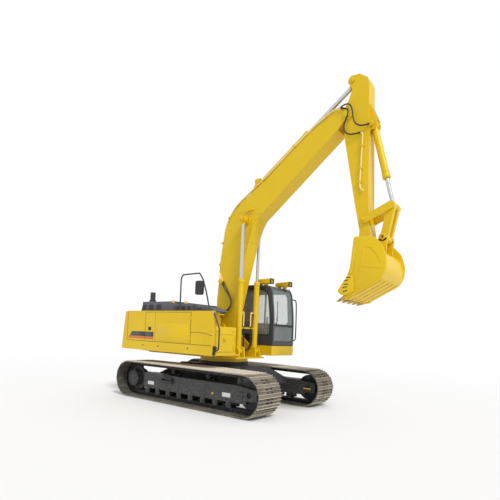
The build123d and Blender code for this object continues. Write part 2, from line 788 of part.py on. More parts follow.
with BuildPart() as cab_shell:
    with BuildSketch(along_y(cab_left_y)):
        Polygon(*cab_outline, align=None)
    extrude(amount=cab_left_y - cab_right_y)
    with BuildSketch(along_y(cab_left_y - cab_wall)):
        Polygon(*cab_inner, align=None)
    extrude(amount=cab_left_y - cab_right_y - 2 * cab_wall, mode=Mode.SUBTRACT)
    with BuildSketch(along_y(cab_right_y + cab_wall + 1)):
        Polygon(*side_window, align=None)
    extrude(amount=cab_wall + 2, mode=Mode.SUBTRACT)
    with BuildSketch(along_y(cab_left_y + 1)):
        Polygon(*door_outline, align=None)
    extrude(amount=cab_wall + 2, mode=Mode.SUBTRACT)
    with BuildSketch(Plane.YZ.offset(850)):
        with Locations(((cab_left_y + cab_right_y) / 2, 2350)):
            RectangleRounded(cab_left_y - cab_right_y - 2 * 85, 1080, 60)
    extrude(amount=600, mode=Mode.SUBTRACT)
    with BuildSketch(Plane.YZ.offset(cab_rear_x - 10)):
        with Locations(((cab_left_y + cab_right_y) / 2, 2530)):
            RectangleRounded(cab_left_y - cab_right_y - 2 * 110, 720, 60)
    extrude(amount=cab_wall + 20, mode=Mode.SUBTRACT)
    for z in cab_hinge_zs:
        add(hinge_half(cab_hinge_x, cab_left_y + hinge_stand, z, (-1, 0), (0, 1)))
save(cab_shell.part, "cab_shell")

with BuildPart() as cab_door:
    with BuildSketch(along_y(cab_left_y)):
        Polygon(*door_outline, align=None)
        offset(amount=-cab_door_gap)
        Polygon(*door_window, align=None, mode=Mode.SUBTRACT)
    extrude(amount=cab_wall)
    for z in cab_hinge_zs:
        add(hinge_half(cab_hinge_x, cab_left_y + hinge_stand, z + knuckle_height + fit, (1, 0), (0, 1)))
save(cab_door.part, "cab_door")

# Door glass, let into the door
with BuildPart() as cab_door_glass:
    with BuildSketch(along_y(cab_left_y - cab_wall / 2)):
        Polygon(*door_window, align=None)
        offset(amount=-fit)
    extrude(amount=glass)
save(cab_door_glass.part, "cab_door_glass")

# Fixed glass: front, right side and rear
with BuildPart() as cab_glass:
    with BuildSketch(Plane.YZ.offset(850)):
        with Locations(((cab_left_y + cab_right_y) / 2, 2350)):
            RectangleRounded(cab_left_y - cab_right_y - 2 * 85 - 2 * fit, 1080 - 2 * fit, 60)
    extrude(amount=600)
    with BuildSketch(along_y(cab_left_y)):
        Polygon(
            (cab_front_x - 30, cab_floor + 60),
            (cab_front_x - 30 + glass, cab_floor + 60),
            (1130 - 30 + glass, 2870),
            (1100 - 70, 2990),
            (1100 - 70 - glass, 2990),
            (1130 - 30, 2870),
            align=None,
        )
    extrude(amount=cab_left_y - cab_right_y, mode=Mode.INTERSECT)
    with BuildSketch(along_y(cab_right_y + cab_wall / 2)):
        Polygon(*side_window, align=None)
        offset(amount=-fit)
    extrude(amount=glass)
    with BuildSketch(Plane.YZ.offset(cab_rear_x + cab_wall / 2)):
        with Locations(((cab_left_y + cab_right_y) / 2, 2530)):
            RectangleRounded(cab_left_y - cab_right_y - 2 * 110 - 2 * fit, 720 - 2 * fit, 60)
    extrude(amount=glass)
save(cab_glass.part, "cab_glass")

# Operator's seat
seat_x = 120.0
seat_y = 985.0
cab_sole = cab_floor + cab_wall
with BuildPart() as operator_seat:
    with BuildSketch(Plane.XY.offset(cab_sole)):
        with Locations((seat_x, seat_y)):
            Rectangle(380, 360)
    extrude(amount=380)
    with BuildSketch(Plane.XY.offset(cab_sole + 380)):
        with Locations((seat_x + 20, seat_y)):
            RectangleRounded(520, 500, 60)
    extrude(amount=120)
    with BuildSketch(along_y(seat_y + 240)):
        Polygon(
            (seat_x - 240, cab_sole + 440),
            (seat_x - 120, cab_sole + 440),
            (seat_x - 220, cab_sole + 1150),
            (seat_x - 320, cab_sole + 1150),
            align=None,
        )
    extrude(amount=480)
save(operator_seat.part, "operator_seat")

# Consoles beside the seat with their levers, and the travel pedals
with BuildPart() as cab_console:
    for side in (1, -1):
        with BuildSketch(Plane.XY.offset(cab_sole)):
            with Locations((seat_x + 60, seat_y + side * 345)):
                Rectangle(560, 150)
        extrude(amount=560)
        with BuildSketch(Plane.XY.offset(cab_sole + 560)):
            with Locations((seat_x + 260, seat_y + side * 345)):
                Circle(20)
        extrude(amount=190)
        with BuildSketch(Plane.XY.offset(cab_sole)):
            with Locations((820, seat_y + side * 80)):
                Rectangle(24, 90)
        extrude(amount=420)
save(cab_console.part, "cab_console")

# Work lamps on the cab roof
lamp_length = 380.0
lamp_width = 150.0
lamp_height = 130.0
with BuildPart() as work_lamps:
    for y in (620.0, 1360.0):
        with BuildSketch(Plane.XY.offset(cab_top)):
            with Locations((690, y)):
                Rectangle(lamp_length, lamp_width)
        extrude(amount=lamp_height)
save(work_lamps.part, "work_lamps")

# Handrails: hoop over the right deck and the step rail at the front corner
rail_radius = 17.0
rail_y = -house_half_width + cheek_plate / 2
hoop = ((-180, house_top + fit), (-180, 3020), (-120, 3110), (440, 3120), (570, 2950), (680, 2670), (815, house_top - 10))
hoop_radii = (40, 40, 60, 120, 120)
step_rail = ((house_front_x - 10, 2215), (1130, 1860), (1130, 1400), (house_front_x - 10, 1300))
with BuildPart() as handrails:
    with BuildLine() as hoop_path:
        FilletPolyline(*[(x, rail_y, z) for x, z in hoop], radius=list(hoop_radii))
    with BuildSketch(Plane(origin=hoop_path.wire() @ 0, z_dir=hoop_path.wire() % 0)):
        Circle(rail_radius)
    sweep(path=hoop_path.wire())
    with BuildLine() as step_path:
        FilletPolyline(*[(x, rail_y, z) for x, z in step_rail], radius=70)
    with BuildSketch(Plane(origin=step_path.wire() @ 0, z_dir=step_path.wire() % 0)):
        Circle(rail_radius)
    sweep(path=step_path.wire())
    with BuildSketch(Plane.XY.offset(skirt_floor)):
        with Locations(((tank_rear_x + house_front_x) / 2, -house_half_width + cheek_plate / 2)):
            Rectangle(house_front_x - tank_rear_x + 2 * fit, cheek_plate + 2 * fit)
    extrude(amount=house_top + fit - skirt_floor, mode=Mode.SUBTRACT)
save(handrails.part, "handrails")

# Mirror on the hoop
with BuildPart() as mirror_head:
    with BuildSketch(along_y(rail_y - rail_radius - fit)):
        with Locations((500, 2775)):
            RectangleRounded(230, 320, 50)
    extrude(amount=55)
save(mirror_head.part, "side_mirror")

# Exhaust stack on the raised cover
with BuildPart() as exhaust_stack:
    with BuildSketch(Plane.XY.offset(hood_top + fit)):
        with Locations((-1530, -1200)):
            Circle(65)
    extrude(amount=230)
save(exhaust_stack.part, "exhaust_stack")

# Boom: box of side plates with a forked nose
boom_outline = (
    (boom_foot[0] - 165, boom_foot[1] + 60),
    (-160, 2630),
    (-70, 3680),
    (10, 4160),
    (60, 4500),
    (270, 4840),
    (520, 5070),
    (1300, 5530),
    (2410, 6330),
    (3130, 6700),
    (3290, 6630),
    (3450, 6440),
    (3280, 6385),
    (3160, 6240),
    (1200, 4712),
    (890, 4470),
    (820, 4040),
    (530, 2920),
    (430, 2480),
    (boom_foot[0] + 170, boom_foot[1] - 20),
)
nose_radius = 130.0
fork_cut = ((2700, 6720), (3220, 6150), (3700, 6150), (3700, 7000), (2700, 7000))
fork_inner = boom_half - boom_fork_plate
with BuildPart() as boom:
    with BuildSketch(along_y(boom_half)):
        Polygon(*boom_outline, align=None)
        with Locations(boom_foot):
            Circle(170)
        with Locations(arm_pivot):
            Circle(nose_radius)
    extrude(amount=2 * boom_half)
    with BuildSketch(along_y(fork_inner)):
        Polygon(*fork_cut, align=None)
    extrude(amount=2 * fork_inner, mode=Mode.SUBTRACT)
    # Foot pin, side bosses facing the lifting cylinders, ears of the arm cylinder
    with BuildSketch(along_y(girder_inner_y + girder_plate + 25)):
        with Locations(boom_foot):
            Circle(55)
    extrude(amount=2 * (girder_inner_y + girder_plate + 25))
    with BuildSketch(along_y(boom_half + 35)):
        with Locations(boom_cylinder_eye):
            Circle(110)
    extrude(amount=2 * (boom_half + 35))
    for inner in (eye_half + ear_gap, -eye_half - ear_gap - 40):
        with BuildSketch(along_y(inner + 40)):
            with Locations(arm_cylinder_base):
                Circle(105)
            Polygon((620, 5080), (905, 5575), (1080, 5565), (1150, 5500), (1300, 5530), (1300, 5400), align=None)
        extrude(amount=40)
    # Bores of the arm pivot and the arm cylinder's base pin
    with BuildSketch(along_y(boom_half + 1)):
        with Locations(arm_pivot):
            Circle(48 + fit)
        with Locations(arm_cylinder_base):
            Circle(42 + fit)
    extrude(amount=2 * boom_half + 2, mode=Mode.SUBTRACT)
save(boom.part, "boom")

# Arm
arm_outline = (
    (arm_cylinder_eye[0] - 95, arm_cylinder_eye[1]),
    (3370, 7300),
    (3560, 7310),
    (3750, 7180),
    (3790, 7080),
    (3910, 4300),
    (3985, 3860),
    (3725, 3860),
    (3735, 4010),
    (3600, 4590),
    (3290, 6060),
    (3290, 6700),
    (3345, 6800),
    (3425, 7020),
)
arm_pin_radius = 48.0
with BuildPart() as arm:
    with BuildSketch(along_y(arm_half)):
        Polygon(*arm_outline, align=None)
        with Locations(arm_cylinder_eye):
            Circle(100)
        with Locations(arm_pivot):
            Circle(120)
        with Locations(bucket_pin):
            Circle(138)
    extrude(amount=2 * arm_half)
    # Slot for the rod eye of the arm cylinder
    with BuildSketch(along_y(eye_half + ear_gap)):
        Polygon((3100, 6925), (3700, 6925), (3700, 7500), (3100, 7500), align=None)
    extrude(amount=2 * (eye_half + ear_gap), mode=Mode.SUBTRACT)
    # Ears of the bucket cylinder
    for inner in (eye_half + ear_gap, -eye_half - ear_gap - 40):
        with BuildSketch(along_y(inner + 40)):
            Polygon((3760, 6750), (3975, 6290), (3850, 6085), (3815, 5990), (3760, 5930), align=None)
            with Locations(bucket_cylinder_base):
                Circle(100)
        extrude(amount=40)
    with BuildSketch(along_y(eye_half + ear_gap)):
        with Locations(bucket_cylinder_base):
            Circle(90)
    extrude(amount=2 * (eye_half + ear_gap), mode=Mode.SUBTRACT)
    # Pivot pin through the boom's fork
    with BuildSketch(along_y(boom_half + 20)):
        with Locations(arm_pivot):
            Circle(arm_pin_radius)
    extrude(amount=2 * (boom_half + 20))
    # Bores of side links, bucket and bucket cylinder
    with BuildSketch(along_y(arm_half + 1)):
        with Locations(side_link_pin):
            Circle(38 + fit)
        with Locations(bucket_pin):
            Circle(42 + fit)
        with Locations(bucket_cylinder_base):
            Circle(38 + fit)
    extrude(amount=2 * arm_half + 2, mode=Mode.SUBTRACT)
save(arm.part, "arm")


def cylinder_barrel(base, target, y, barrel_radius, bore_radius, length, eye_radius, half, pin, pin_half):
    """Barrel with its base eye and pin, open at the rod end, along base to target at one y."""
    angle = bearing_angle(base, target)
    line = Vector(cos(radians(angle)), 0, sin(radians(angle)))
    axis_plane = Plane(origin=(base[0], y, base[1]), x_dir=(0, 1, 0), z_dir=line)
    with BuildPart() as barrel:
        with BuildSketch(axis_plane):
            Circle(half)
        extrude(amount=eye_radius + 50)
        with BuildSketch(axis_plane.offset(eye_radius + 45)):
            Circle(barrel_radius)
        extrude(amount=length - eye_radius - 45)
        with BuildSketch(along_y(y + half)):
            with Locations(base):
                Circle(eye_radius)
        extrude(amount=2 * half)
        with BuildSketch(axis_plane.offset(eye_radius + 12)):
            Circle(bore_radius)
        extrude(amount=length, mode=Mode.SUBTRACT)
        with BuildSketch(along_y(y + pin_half)):
            with Locations(base):
                Circle(pin)
        extrude(amount=2 * pin_half)
    return barrel.part


def cylinder_rod(base, target, y, rod_radius, length, eye_radius, half):
    """Rod with its eye at the target, reaching back along the barrel."""
    angle = bearing_angle(base, target)
    line = Vector(-cos(radians(angle)), 0, -sin(radians(angle)))
    with BuildPart() as rod:
        with BuildSketch(Plane(origin=(target[0], y, target[1]), x_dir=(0, 1, 0), z_dir=line)):
            Circle(rod_radius)
        extrude(amount=length)
        with BuildSketch(along_y(y + half)):
            with Locations(target):
                Circle(eye_radius)
        extrude(amount=2 * half)
    return rod.part


rod_gap = 0.6
cylinder_table = (
    # name, base pin, rod pin, y of each, barrel radius, barrel length, rod radius, rod length,
    # base eye radius, rod eye radius, half width of the eyes, base pin radius, base pin half length
    ("boom", boom_cylinder_foot, boom_cylinder_eye, (boom_cylinder_y, -boom_cylinder_y), boom_barrel_radius,
     boom_barrel_length, boom_rod_radius, boom_rod_length, 82, 85, boom_cylinder_eye_half, 45, 118),
    ("arm", arm_cylinder_base, arm_cylinder_eye, (0,), arm_barrel_radius,
     arm_barrel_length, arm_rod_radius, arm_rod_length, 90, 92, eye_half, 42, 125),
    ("bucket", bucket_cylinder_base, link_pin, (0,), bucket_barrel_radius,
     bucket_barrel_length, bucket_rod_radius, bucket_rod_length, 76, 72, eye_half, 38, 118),
)
for name, base, target, places, r_barrel, barrel, r_rod, rod, r_base, r_eye, half, r_pin, pin_half in cylinder_table:
    plural = "s" if len(places) > 1 else ""
    with BuildPart() as barrel_part:
        for y in places:
            add(cylinder_barrel(base, target, y, r_barrel, r_rod + rod_gap, barrel, r_base, half, r_pin, pin_half))
    save(barrel_part.part, name + "_barrel" + plural)
    with BuildPart() as rod_part:
        for y in places:
            add(cylinder_rod(base, target, y, r_rod, rod, r_eye, half))
    save(rod_part.part, name + "_rod" + plural)

# Side links outside the arm, on one pin through it
link_lane = arm_half + ear_gap
with BuildPart() as side_links:
    for side in (1, -1):
        with BuildSketch(along_y(side * (link_lane + side_link_plate / 2) + side_link_plate / 2)):
            with BuildLine():
                Line(side_link_pin, link_pin)
            with Locations(side_link_pin):
                Circle(75)
            with Locations(link_pin):
                Circle(78)
            make_hull()
        extrude(amount=side_link_plate)
    with BuildSketch(along_y(link_lane + side_link_plate)):
        with Locations(side_link_pin):
            Circle(38)
    extrude(amount=2 * (link_lane + side_link_plate))
save(side_links.part, "side_links")

# Bucket link: two plates from the cylinder's rod to the bucket's ears
with BuildPart() as bucket_link:
    for side in (1, -1):
        inner = eye_half + ear_gap
        with BuildSketch(along_y(side * (inner + arm_half) / 2 + (arm_half - inner) / 2)):
            with Locations(bucket_link_pin):
                Circle(76)
            with Locations(link_pin):
                Circle(80)
            make_hull()
        extrude(amount=arm_half - inner)
    with BuildSketch(along_y(arm_half)):
        with Locations(bucket_link_pin):
            Circle(76)
    extrude(amount=2 * arm_half)
    with BuildSketch(along_y(link_lane + bucket_ear_plate + 20)):
        with Locations(bucket_link_pin):
            Circle(40)
    extrude(amount=2 * (link_lane + bucket_ear_plate + 20))
save(bucket_link.part, "bucket_link")

# Bucket: wrapped shell between two side plates, with a lip and two hinge ears
shell_outside = (
    (3800, 3640),
    (4045, 3625),
    (4212, 3559),
    (4334, 3463),
    (4442, 3294),
    (4475, 3120),
    (4400, 2930),
    (4150, 2800),
    (3760, 2590),
)
lip_outline = ((3670, 2560), (3950, 2700), (3932, 2742), (3640, 2596))
cutter_plate = 24.0
with BuildPart() as bucket:
    with BuildSketch(along_y(bucket_half)):
        Polygon(*shell_outside, (3700, 3020), (3745, 3150), align=None)
    extrude(amount=2 * bucket_half)
    with BuildSketch(along_y(bucket_half - bucket_plate)):
        Polygon(
            (3600, 3616),
            (4036, 3602),
            (4198, 3538),
            (4314, 3450),
            (4418, 3288),
            (4450, 3124),
            (4385, 2950),
            (4140, 2824),
            (3735, 2612),
            (3500, 2900),
            align=None,
        )
    extrude(amount=2 * (bucket_half - bucket_plate), mode=Mode.SUBTRACT)
    # Lip across the front edge
    with BuildSketch(along_y(bucket_half)):
        Polygon(*lip_outline, align=None)
    extrude(amount=2 * bucket_half)
    # Side cutters on the outside of the side plates
    for y in (bucket_half + cutter_plate, -bucket_half):
        with BuildSketch(along_y(y)):
            Polygon((3719, 3018), (3516, 2723), (3590, 2640), (3760, 2640), (3860, 2820), (3810, 3010), align=None)
        extrude(amount=cutter_plate)
    for side in (1, -1):
        with BuildSketch(along_y(side * (link_lane + bucket_ear_plate / 2) + bucket_ear_plate / 2)):
            with Locations(bucket_pin):
                Circle(100)
            with Locations(bucket_link_pin):
                Circle(92)
            make_hull()
            Polygon((3790, 3750), (3800, 3625), (4045, 3610), (4212, 3545), (4325, 3455), (4345, 3800), align=None)
        extrude(amount=bucket_ear_plate)
    with BuildSketch(along_y(link_lane + bucket_ear_plate + 1)):
        with Locations(bucket_link_pin):
            Circle(40 + fit)
    extrude(amount=2 * (link_lane + bucket_ear_plate + 1), mode=Mode.SUBTRACT)
    # Hinge pin through the arm's end
    with BuildSketch(along_y(link_lane + bucket_ear_plate + 20)):
        with Locations(bucket_pin):
            Circle(42)
    extrude(amount=2 * (link_lane + bucket_ear_plate + 20))
save(bucket.part, "bucket")

# Bucket teeth on the lip, and the side cutters
tooth_width = 76.0
floor_strip = ((4150, 2800), (3760, 2590), (3735, 2612), (4140, 2824))
tooth_reach = bucket_half - bucket_plate - tooth_width / 2 - fit
tooth_pitch = 2 * tooth_reach / (tooth_count - 1)
with BuildPart() as bucket_teeth:
    for i in range(tooth_count):
        y = -tooth_reach + i * tooth_pitch
        with BuildSketch(along_y(y + tooth_width / 2)):
            Polygon(tooth_tip, (3620, 2640), (3700, 2700), (3840, 2760), (3850, 2640), (3760, 2560), (3500, 2500), align=None)
        extrude(amount=tooth_width)
    for outline in (lip_outline, floor_strip):
        with BuildSketch(along_y(bucket_half)):
            Polygon(*outline, align=None)
            offset(amount=fit)
        extrude(amount=2 * bucket_half, mode=Mode.SUBTRACT)
save(bucket_teeth.part, "bucket_teeth")
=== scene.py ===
import math

import bmesh
import bpy
from mathutils import Matrix, Vector


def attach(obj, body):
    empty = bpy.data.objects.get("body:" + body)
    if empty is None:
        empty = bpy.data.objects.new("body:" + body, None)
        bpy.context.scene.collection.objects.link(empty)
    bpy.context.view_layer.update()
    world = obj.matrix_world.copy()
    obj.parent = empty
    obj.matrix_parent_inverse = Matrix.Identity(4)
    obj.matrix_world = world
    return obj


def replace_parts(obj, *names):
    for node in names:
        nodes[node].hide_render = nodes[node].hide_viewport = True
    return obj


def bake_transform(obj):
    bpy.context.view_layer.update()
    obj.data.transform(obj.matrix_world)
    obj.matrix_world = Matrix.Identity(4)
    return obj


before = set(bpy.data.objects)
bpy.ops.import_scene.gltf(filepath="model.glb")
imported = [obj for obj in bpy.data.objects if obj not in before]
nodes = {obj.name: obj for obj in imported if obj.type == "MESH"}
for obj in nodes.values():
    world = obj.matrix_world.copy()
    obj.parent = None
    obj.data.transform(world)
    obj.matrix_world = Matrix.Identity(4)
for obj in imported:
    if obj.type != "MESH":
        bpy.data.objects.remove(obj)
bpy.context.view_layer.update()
print("stage: frame loaded,", len(nodes), "nodes")

# Camera, as the photograph was taken: degrees, metres and pixels of the 500 x 500 picture
photoCamera = {
    "place": (7.335, -8.144, 1.757),
    "azimuth": 37.083,
    "pitch": -0.451,
    "roll": 2.596,
    "focalPixels": 412.01,
    "centrePixel": (260.51, 338.36),
    "pictureSide": 500.0,
    "sensorMm": 36.0,
}


def makeCamera(spec):
    azimuth, pitch, roll = (math.radians(spec[k]) for k in ("azimuth", "pitch", "roll"))
    forward = Vector((
        -math.sin(azimuth) * math.cos(pitch),
        math.cos(azimuth) * math.cos(pitch),
        math.sin(pitch),
    ))
    level = Vector((math.cos(azimuth), math.sin(azimuth), 0))
    upright = level.cross(forward)
    right = level * math.cos(roll) + upright * math.sin(roll)
    up = upright * math.cos(roll) - level * math.sin(roll)
    data = bpy.data.cameras.new("photoCamera")
    data.sensor_width = spec["sensorMm"]
    data.lens = spec["sensorMm"] * spec["focalPixels"] / spec["pictureSide"]
    data.shift_x = 0.5 - spec["centrePixel"][0] / spec["pictureSide"]
    data.shift_y = spec["centrePixel"][1] / spec["pictureSide"] - 0.5
    data.clip_end = 200
    camera = bpy.data.objects.new("photoCamera", data)
    turn = Matrix((right, up, -forward)).transposed().to_4x4()
    camera.matrix_world = Matrix.Translation(spec["place"]) @ turn
    bpy.context.scene.collection.objects.link(camera)
    bpy.context.scene.camera = camera
    bpy.context.scene.view_settings.view_transform = "Standard"


makeCamera(photoCamera)


# Materials

def linearColour(hexColour):
    # sRGB hex to linear
    parts = [int(hexColour[i:i + 2], 16) / 255 for i in (0, 2, 4)]
    return tuple(p / 12.92 if p <= 0.04045 else ((p + 0.055) / 1.055) ** 2.4 for p in parts) + (1.0,)


def addNode(tree, kind, inputs=None, **settings):
    # each input is a socket, a node that gives its first output, a hex colour or an even value
    node = tree.nodes.new("ShaderNode" + kind)
    for name, value in settings.items():
        setattr(node, name, value)
    for socket, value in (inputs or {}).items():
        if isinstance(value, bpy.types.Node):
            value = value.outputs[0]
        elif isinstance(value, str):
            value = linearColour(value)
        if isinstance(value, bpy.types.NodeSocket):
            tree.links.new(value, node.inputs[socket])
        else:
            node.inputs[socket].default_value = value
    return node


def startMaterial(name, **constants):
    # a Principled surface whose even values are set on its own sockets, with the place on the object
    material = bpy.data.materials.new(name)
    material.use_nodes = True
    tree = material.node_tree
    for socket, value in constants.items():
        tree.nodes["Principled BSDF"].inputs[socket.replace("_", " ")].default_value = value
    return material, tree, addNode(tree, "TexCoord").outputs["Object"]


def linkSurface(material, **sources):
    # sockets of the surface that follow the first output of a node
    tree = material.node_tree
    for socket, node in sources.items():
        tree.links.new(node.outputs[0], tree.nodes["Principled BSDF"].inputs[socket.replace("_", " ")])
    return material


def setRamp(ramp, stops):
    # colours along a ramp, whose own two ends take the first and the last stop
    for end, (position, colour) in zip(ramp.elements, (stops[0], stops[-1])):
        end.position, end.color = position, linearColour(colour)
    for position, colour in stops[1:-1]:
        ramp.elements.new(position).color = linearColour(colour)


def pattern(place, mm, **more):
    # inputs of a texture whose pattern repeats about every so many millimetres
    return {"Vector": place, "Scale": 1000.0 / mm, **more}


def sprayedEnamel(name, look):
    # Two-pack enamel sprayed on steel plate: even semi-gloss colour with a faint orange peel,
    # slightly chalked in broad patches, and a film of dry dust that thickens towards the ground
    material, tree, place = startMaterial(
        name, Roughness=look["roughness"], IOR=1.5, Specular_IOR_Level=look["shine"],
        Coat_Weight=look["coat"], Coat_Roughness=0.16,
    )
    patches = addNode(tree, "TexNoise", pattern(place, look["patchMm"], Detail=5.0))
    chalk = addNode(tree, "MapRange", {0: patches, 1: 0.35, 2: 0.75, 3: 0.0, 4: look["chalk"]})
    paint = addNode(tree, "MixRGB", {0: chalk, 1: look["colour"], 2: look["chalkColour"]})
    height = addNode(tree, "SeparateXYZ", {0: place})
    settle = addNode(tree, "MapRange", {
        0: height.outputs["Z"], 1: look["dustTop"], 2: 0.0, 3: look["dustAir"], 4: look["dustGround"],
    })
    grit = addNode(tree, "TexNoise", pattern(place, look["gritMm"], Detail=8.0))
    clots = addNode(tree, "MapRange", {0: grit, 1: 0.42, 2: 0.66})
    film = addNode(tree, "Math", {0: settle, 1: clots}, operation="MULTIPLY")
    surface = addNode(tree, "MixRGB", {0: film, 1: paint, 2: look["dustColour"]})
    dull = addNode(tree, "MapRange", {0: film, 3: look["roughness"], 4: 0.85})
    # orange peel is 2 mm on the real paint, drawn at 9 mm so that it shows
    peel = addNode(tree, "TexNoise", pattern(place, look["peelMm"], Detail=2.0))
    bump = addNode(tree, "Bump", {"Strength": look["peel"], "Distance": 0.0006, "Height": peel})
    return linkSurface(material, Base_Color=surface, Roughness=dull, Normal=bump)


yellowLook = {
    "colour": "E2BC06", "chalkColour": "EACB2C", "chalk": 0.45, "patchMm": 900.0,
    "roughness": 0.36, "shine": 0.28, "coat": 0.1, "peel": 0.16, "peelMm": 9.0,
    "dustColour": "BFA670", "dustTop": 1.5, "dustAir": 0.02, "dustGround": 0.4, "gritMm": 60.0,
}
yellowEnamel = sprayedEnamel("yellowEnamel", yellowLook)
frameLook = dict(
    yellowLook, colour="393A3D", chalkColour="4A4B4D", roughness=0.45, coat=0.08,
    dustColour="8A857B", dustTop=1.1, dustAir=0.06, dustGround=0.45, gritMm=45.0,
)
charcoalEnamel = sprayedEnamel("charcoalEnamel", frameLook)
cabLook = dict(frameLook, colour="3A3C41", chalkColour="45474C", roughness=0.36, coat=0.2, dustGround=0.2)
cabEnamel = sprayedEnamel("cabEnamel", cabLook)


def treadCoating(look):
    # Grit-filled epoxy on steel covers: a fine even grain that catches light, blue-grey, matt
    material, tree, place = startMaterial("treadCoating", Roughness=0.72, IOR=1.5)
    grain = addNode(tree, "TexNoise", pattern(place, look["grainMm"], Detail=3.0))
    tone = addNode(tree, "ValToRGB", {0: grain})
    setRamp(tone.color_ramp, ((0.3, look["dark"]), (0.72, look["light"])))
    bump = addNode(tree, "Bump", {"Strength": 0.5, "Distance": 0.002, "Height": grain})
    return linkSurface(material, Base_Color=tone, Normal=bump)


coverCoating = treadCoating({"grainMm": 11.0, "dark": "43454F", "light": "6A6C77"})


def earthedSteel(name, look):
    # Rolled or cast steel that has run over dry ground: dark oxide, with pale earth in broad
    # smears and pressed grains, and bare metal where it rubs
    material, tree, place = startMaterial(name, Metallic=0.0, IOR=1.5)
    smears = addNode(tree, "TexNoise", pattern(place, look["smearMm"], Detail=6.0))
    grains = addNode(tree, "TexNoise", pattern(place, look["grainMm"], Detail=4.0))
    both = addNode(tree, "Math", {0: smears, 1: grains}, operation="ADD")
    thin, thick = 1.18 - look["cover"], 1.32 - look["cover"]
    cover = addNode(tree, "MapRange", {0: both, 1: thin, 2: thick})
    colour = addNode(tree, "MixRGB", {0: cover, 1: look["steel"], 2: look["earth"]})
    dull = addNode(tree, "MapRange", {0: cover, 3: look["roughness"], 4: 0.93})
    bare = addNode(tree, "MapRange", {0: cover, 3: look["metallic"], 4: 0.0})
    bump = addNode(tree, "Bump", {"Strength": 0.45, "Distance": 0.004, "Height": both})
    return linkSurface(material, Base_Color=colour, Roughness=dull, Metallic=bare, Normal=bump)


def trackShoeSteel(look):
    # Quenched shoe steel: the grouser tips are rubbed pale and bright on the ground, the plates between
    # them keep dry earth, and the inner side towards the chain stays dark and oily
    material, tree, place = startMaterial("trackShoeSteel", IOR=1.5, Specular_IOR_Level=0.4)
    parts = addNode(tree, "SeparateXYZ", {0: place})
    ahead = addNode(tree, "Math", {0: parts.outputs["X"], 1: look["halfWheelbase"]}, operation="MINIMUM")
    held = addNode(tree, "Math", {0: ahead, 1: -look["halfWheelbase"]}, operation="MAXIMUM")
    off = addNode(tree, "Math", {0: parts.outputs["X"], 1: held}, operation="SUBTRACT")
    rise = addNode(tree, "Math", {0: parts.outputs["Z"], 1: look["axleHeight"]}, operation="SUBTRACT")
    spoke = addNode(tree, "CombineXYZ", {0: off, 2: rise})
    reach = addNode(tree, "VectorMath", {0: spoke}, operation="LENGTH")
    earth = addNode(tree, "TexNoise", pattern(place, look["smearMm"], Detail=6.0))
    grit = addNode(tree, "TexNoise", pattern(place, look["gritMm"], Detail=4.0))
    shift = addNode(tree, "MapRange", {0: earth, 1: 0.3, 2: 0.7, 3: -0.006, 4: 0.006})
    level = addNode(tree, "Math", {0: reach.outputs["Value"], 1: shift}, operation="ADD")
    share = addNode(tree, "MapRange", {0: level, 1: look["inside"], 2: look["tip"]})
    tone = addNode(tree, "ValToRGB", {0: share})
    setRamp(tone.color_ramp, look["tones"])
    dust = addNode(tree, "MapRange", {0: grit, 1: 0.45, 2: 0.65, 3: 0.0, 4: look["dust"]})
    mixed = addNode(tree, "MixRGB", {0: dust, 1: tone, 2: look["dustColour"]})
    shine = addNode(tree, "MapRange", {0: share, 1: 0.8, 2: 1.0, 3: 0.8, 4: 0.42})
    bump = addNode(tree, "Bump", {"Strength": 0.4, "Distance": 0.003, "Height": grit})
    return linkSurface(material, Base_Color=mixed, Roughness=shine, Normal=bump)


shoeSteel = trackShoeSteel({
    "halfWheelbase": 1.975, "axleHeight": 0.470, "inside": 0.385, "tip": 0.470,
    "tones": (
        (0.3, "2B2A28"), (0.5, "4E4B46"), (0.64, "7C766A"), (0.76, "8A8377"), (0.86, "C9BFAE"),
        (1.0, "DDD4C4"),
    ),
    "smearMm": 240.0, "gritMm": 24.0, "dust": 0.35, "dustColour": "9C917D",
})
castSteel = earthedSteel("castSteel", {
    "steel": "2E2E30", "earth": "6F6A62", "smearMm": 180.0, "grainMm": 16.0, "cover": 0.02,
    "roughness": 0.5, "metallic": 0.6,
})


def hardChrome(name, eyeX, eyeZ, painted):
    # Hard chrome on a ground rod, mirror bright with the finest turning marks; its welded eye is
    # painted like the rest, from the eye's pin out to the bare rod
    material, tree, place = startMaterial(name)
    marks = addNode(tree, "TexNoise", pattern(place, 14.0, Detail=6.0))
    haze = addNode(tree, "MapRange", {0: marks, 1: 0.3, 2: 0.7, 3: 0.1, 4: 0.2})
    parts = addNode(tree, "SeparateXYZ", {0: place})
    flat = addNode(tree, "CombineXYZ", {0: parts.outputs["X"], 2: parts.outputs["Z"]})
    away = addNode(tree, "VectorMath", {0: flat, 1: (eyeX, 0, eyeZ)}, operation="DISTANCE")
    bare = addNode(tree, "MapRange", {0: away.outputs["Value"], 1: painted, 2: painted + 0.003})
    colour = addNode(tree, "MixRGB", {0: bare, 1: yellowLook["colour"], 2: "C9CBCF"})
    enamel = (yellowLook["roughness"],) * 3 + (1.0,)
    rough = addNode(tree, "MixRGB", {0: bare, 1: enamel, 2: haze})
    return linkSurface(material, Base_Color=colour, Metallic=bare, Roughness=rough)


rodEyes = {
    # x and z of the eye's pin, and how far the paint goes from it, in metres
    "boom_rods": (0.740, 4.600, 0.125), "arm_rod": (3.420, 7.220, 0.135),
    "bucket_rod": (4.375, 4.440, 0.112),
}


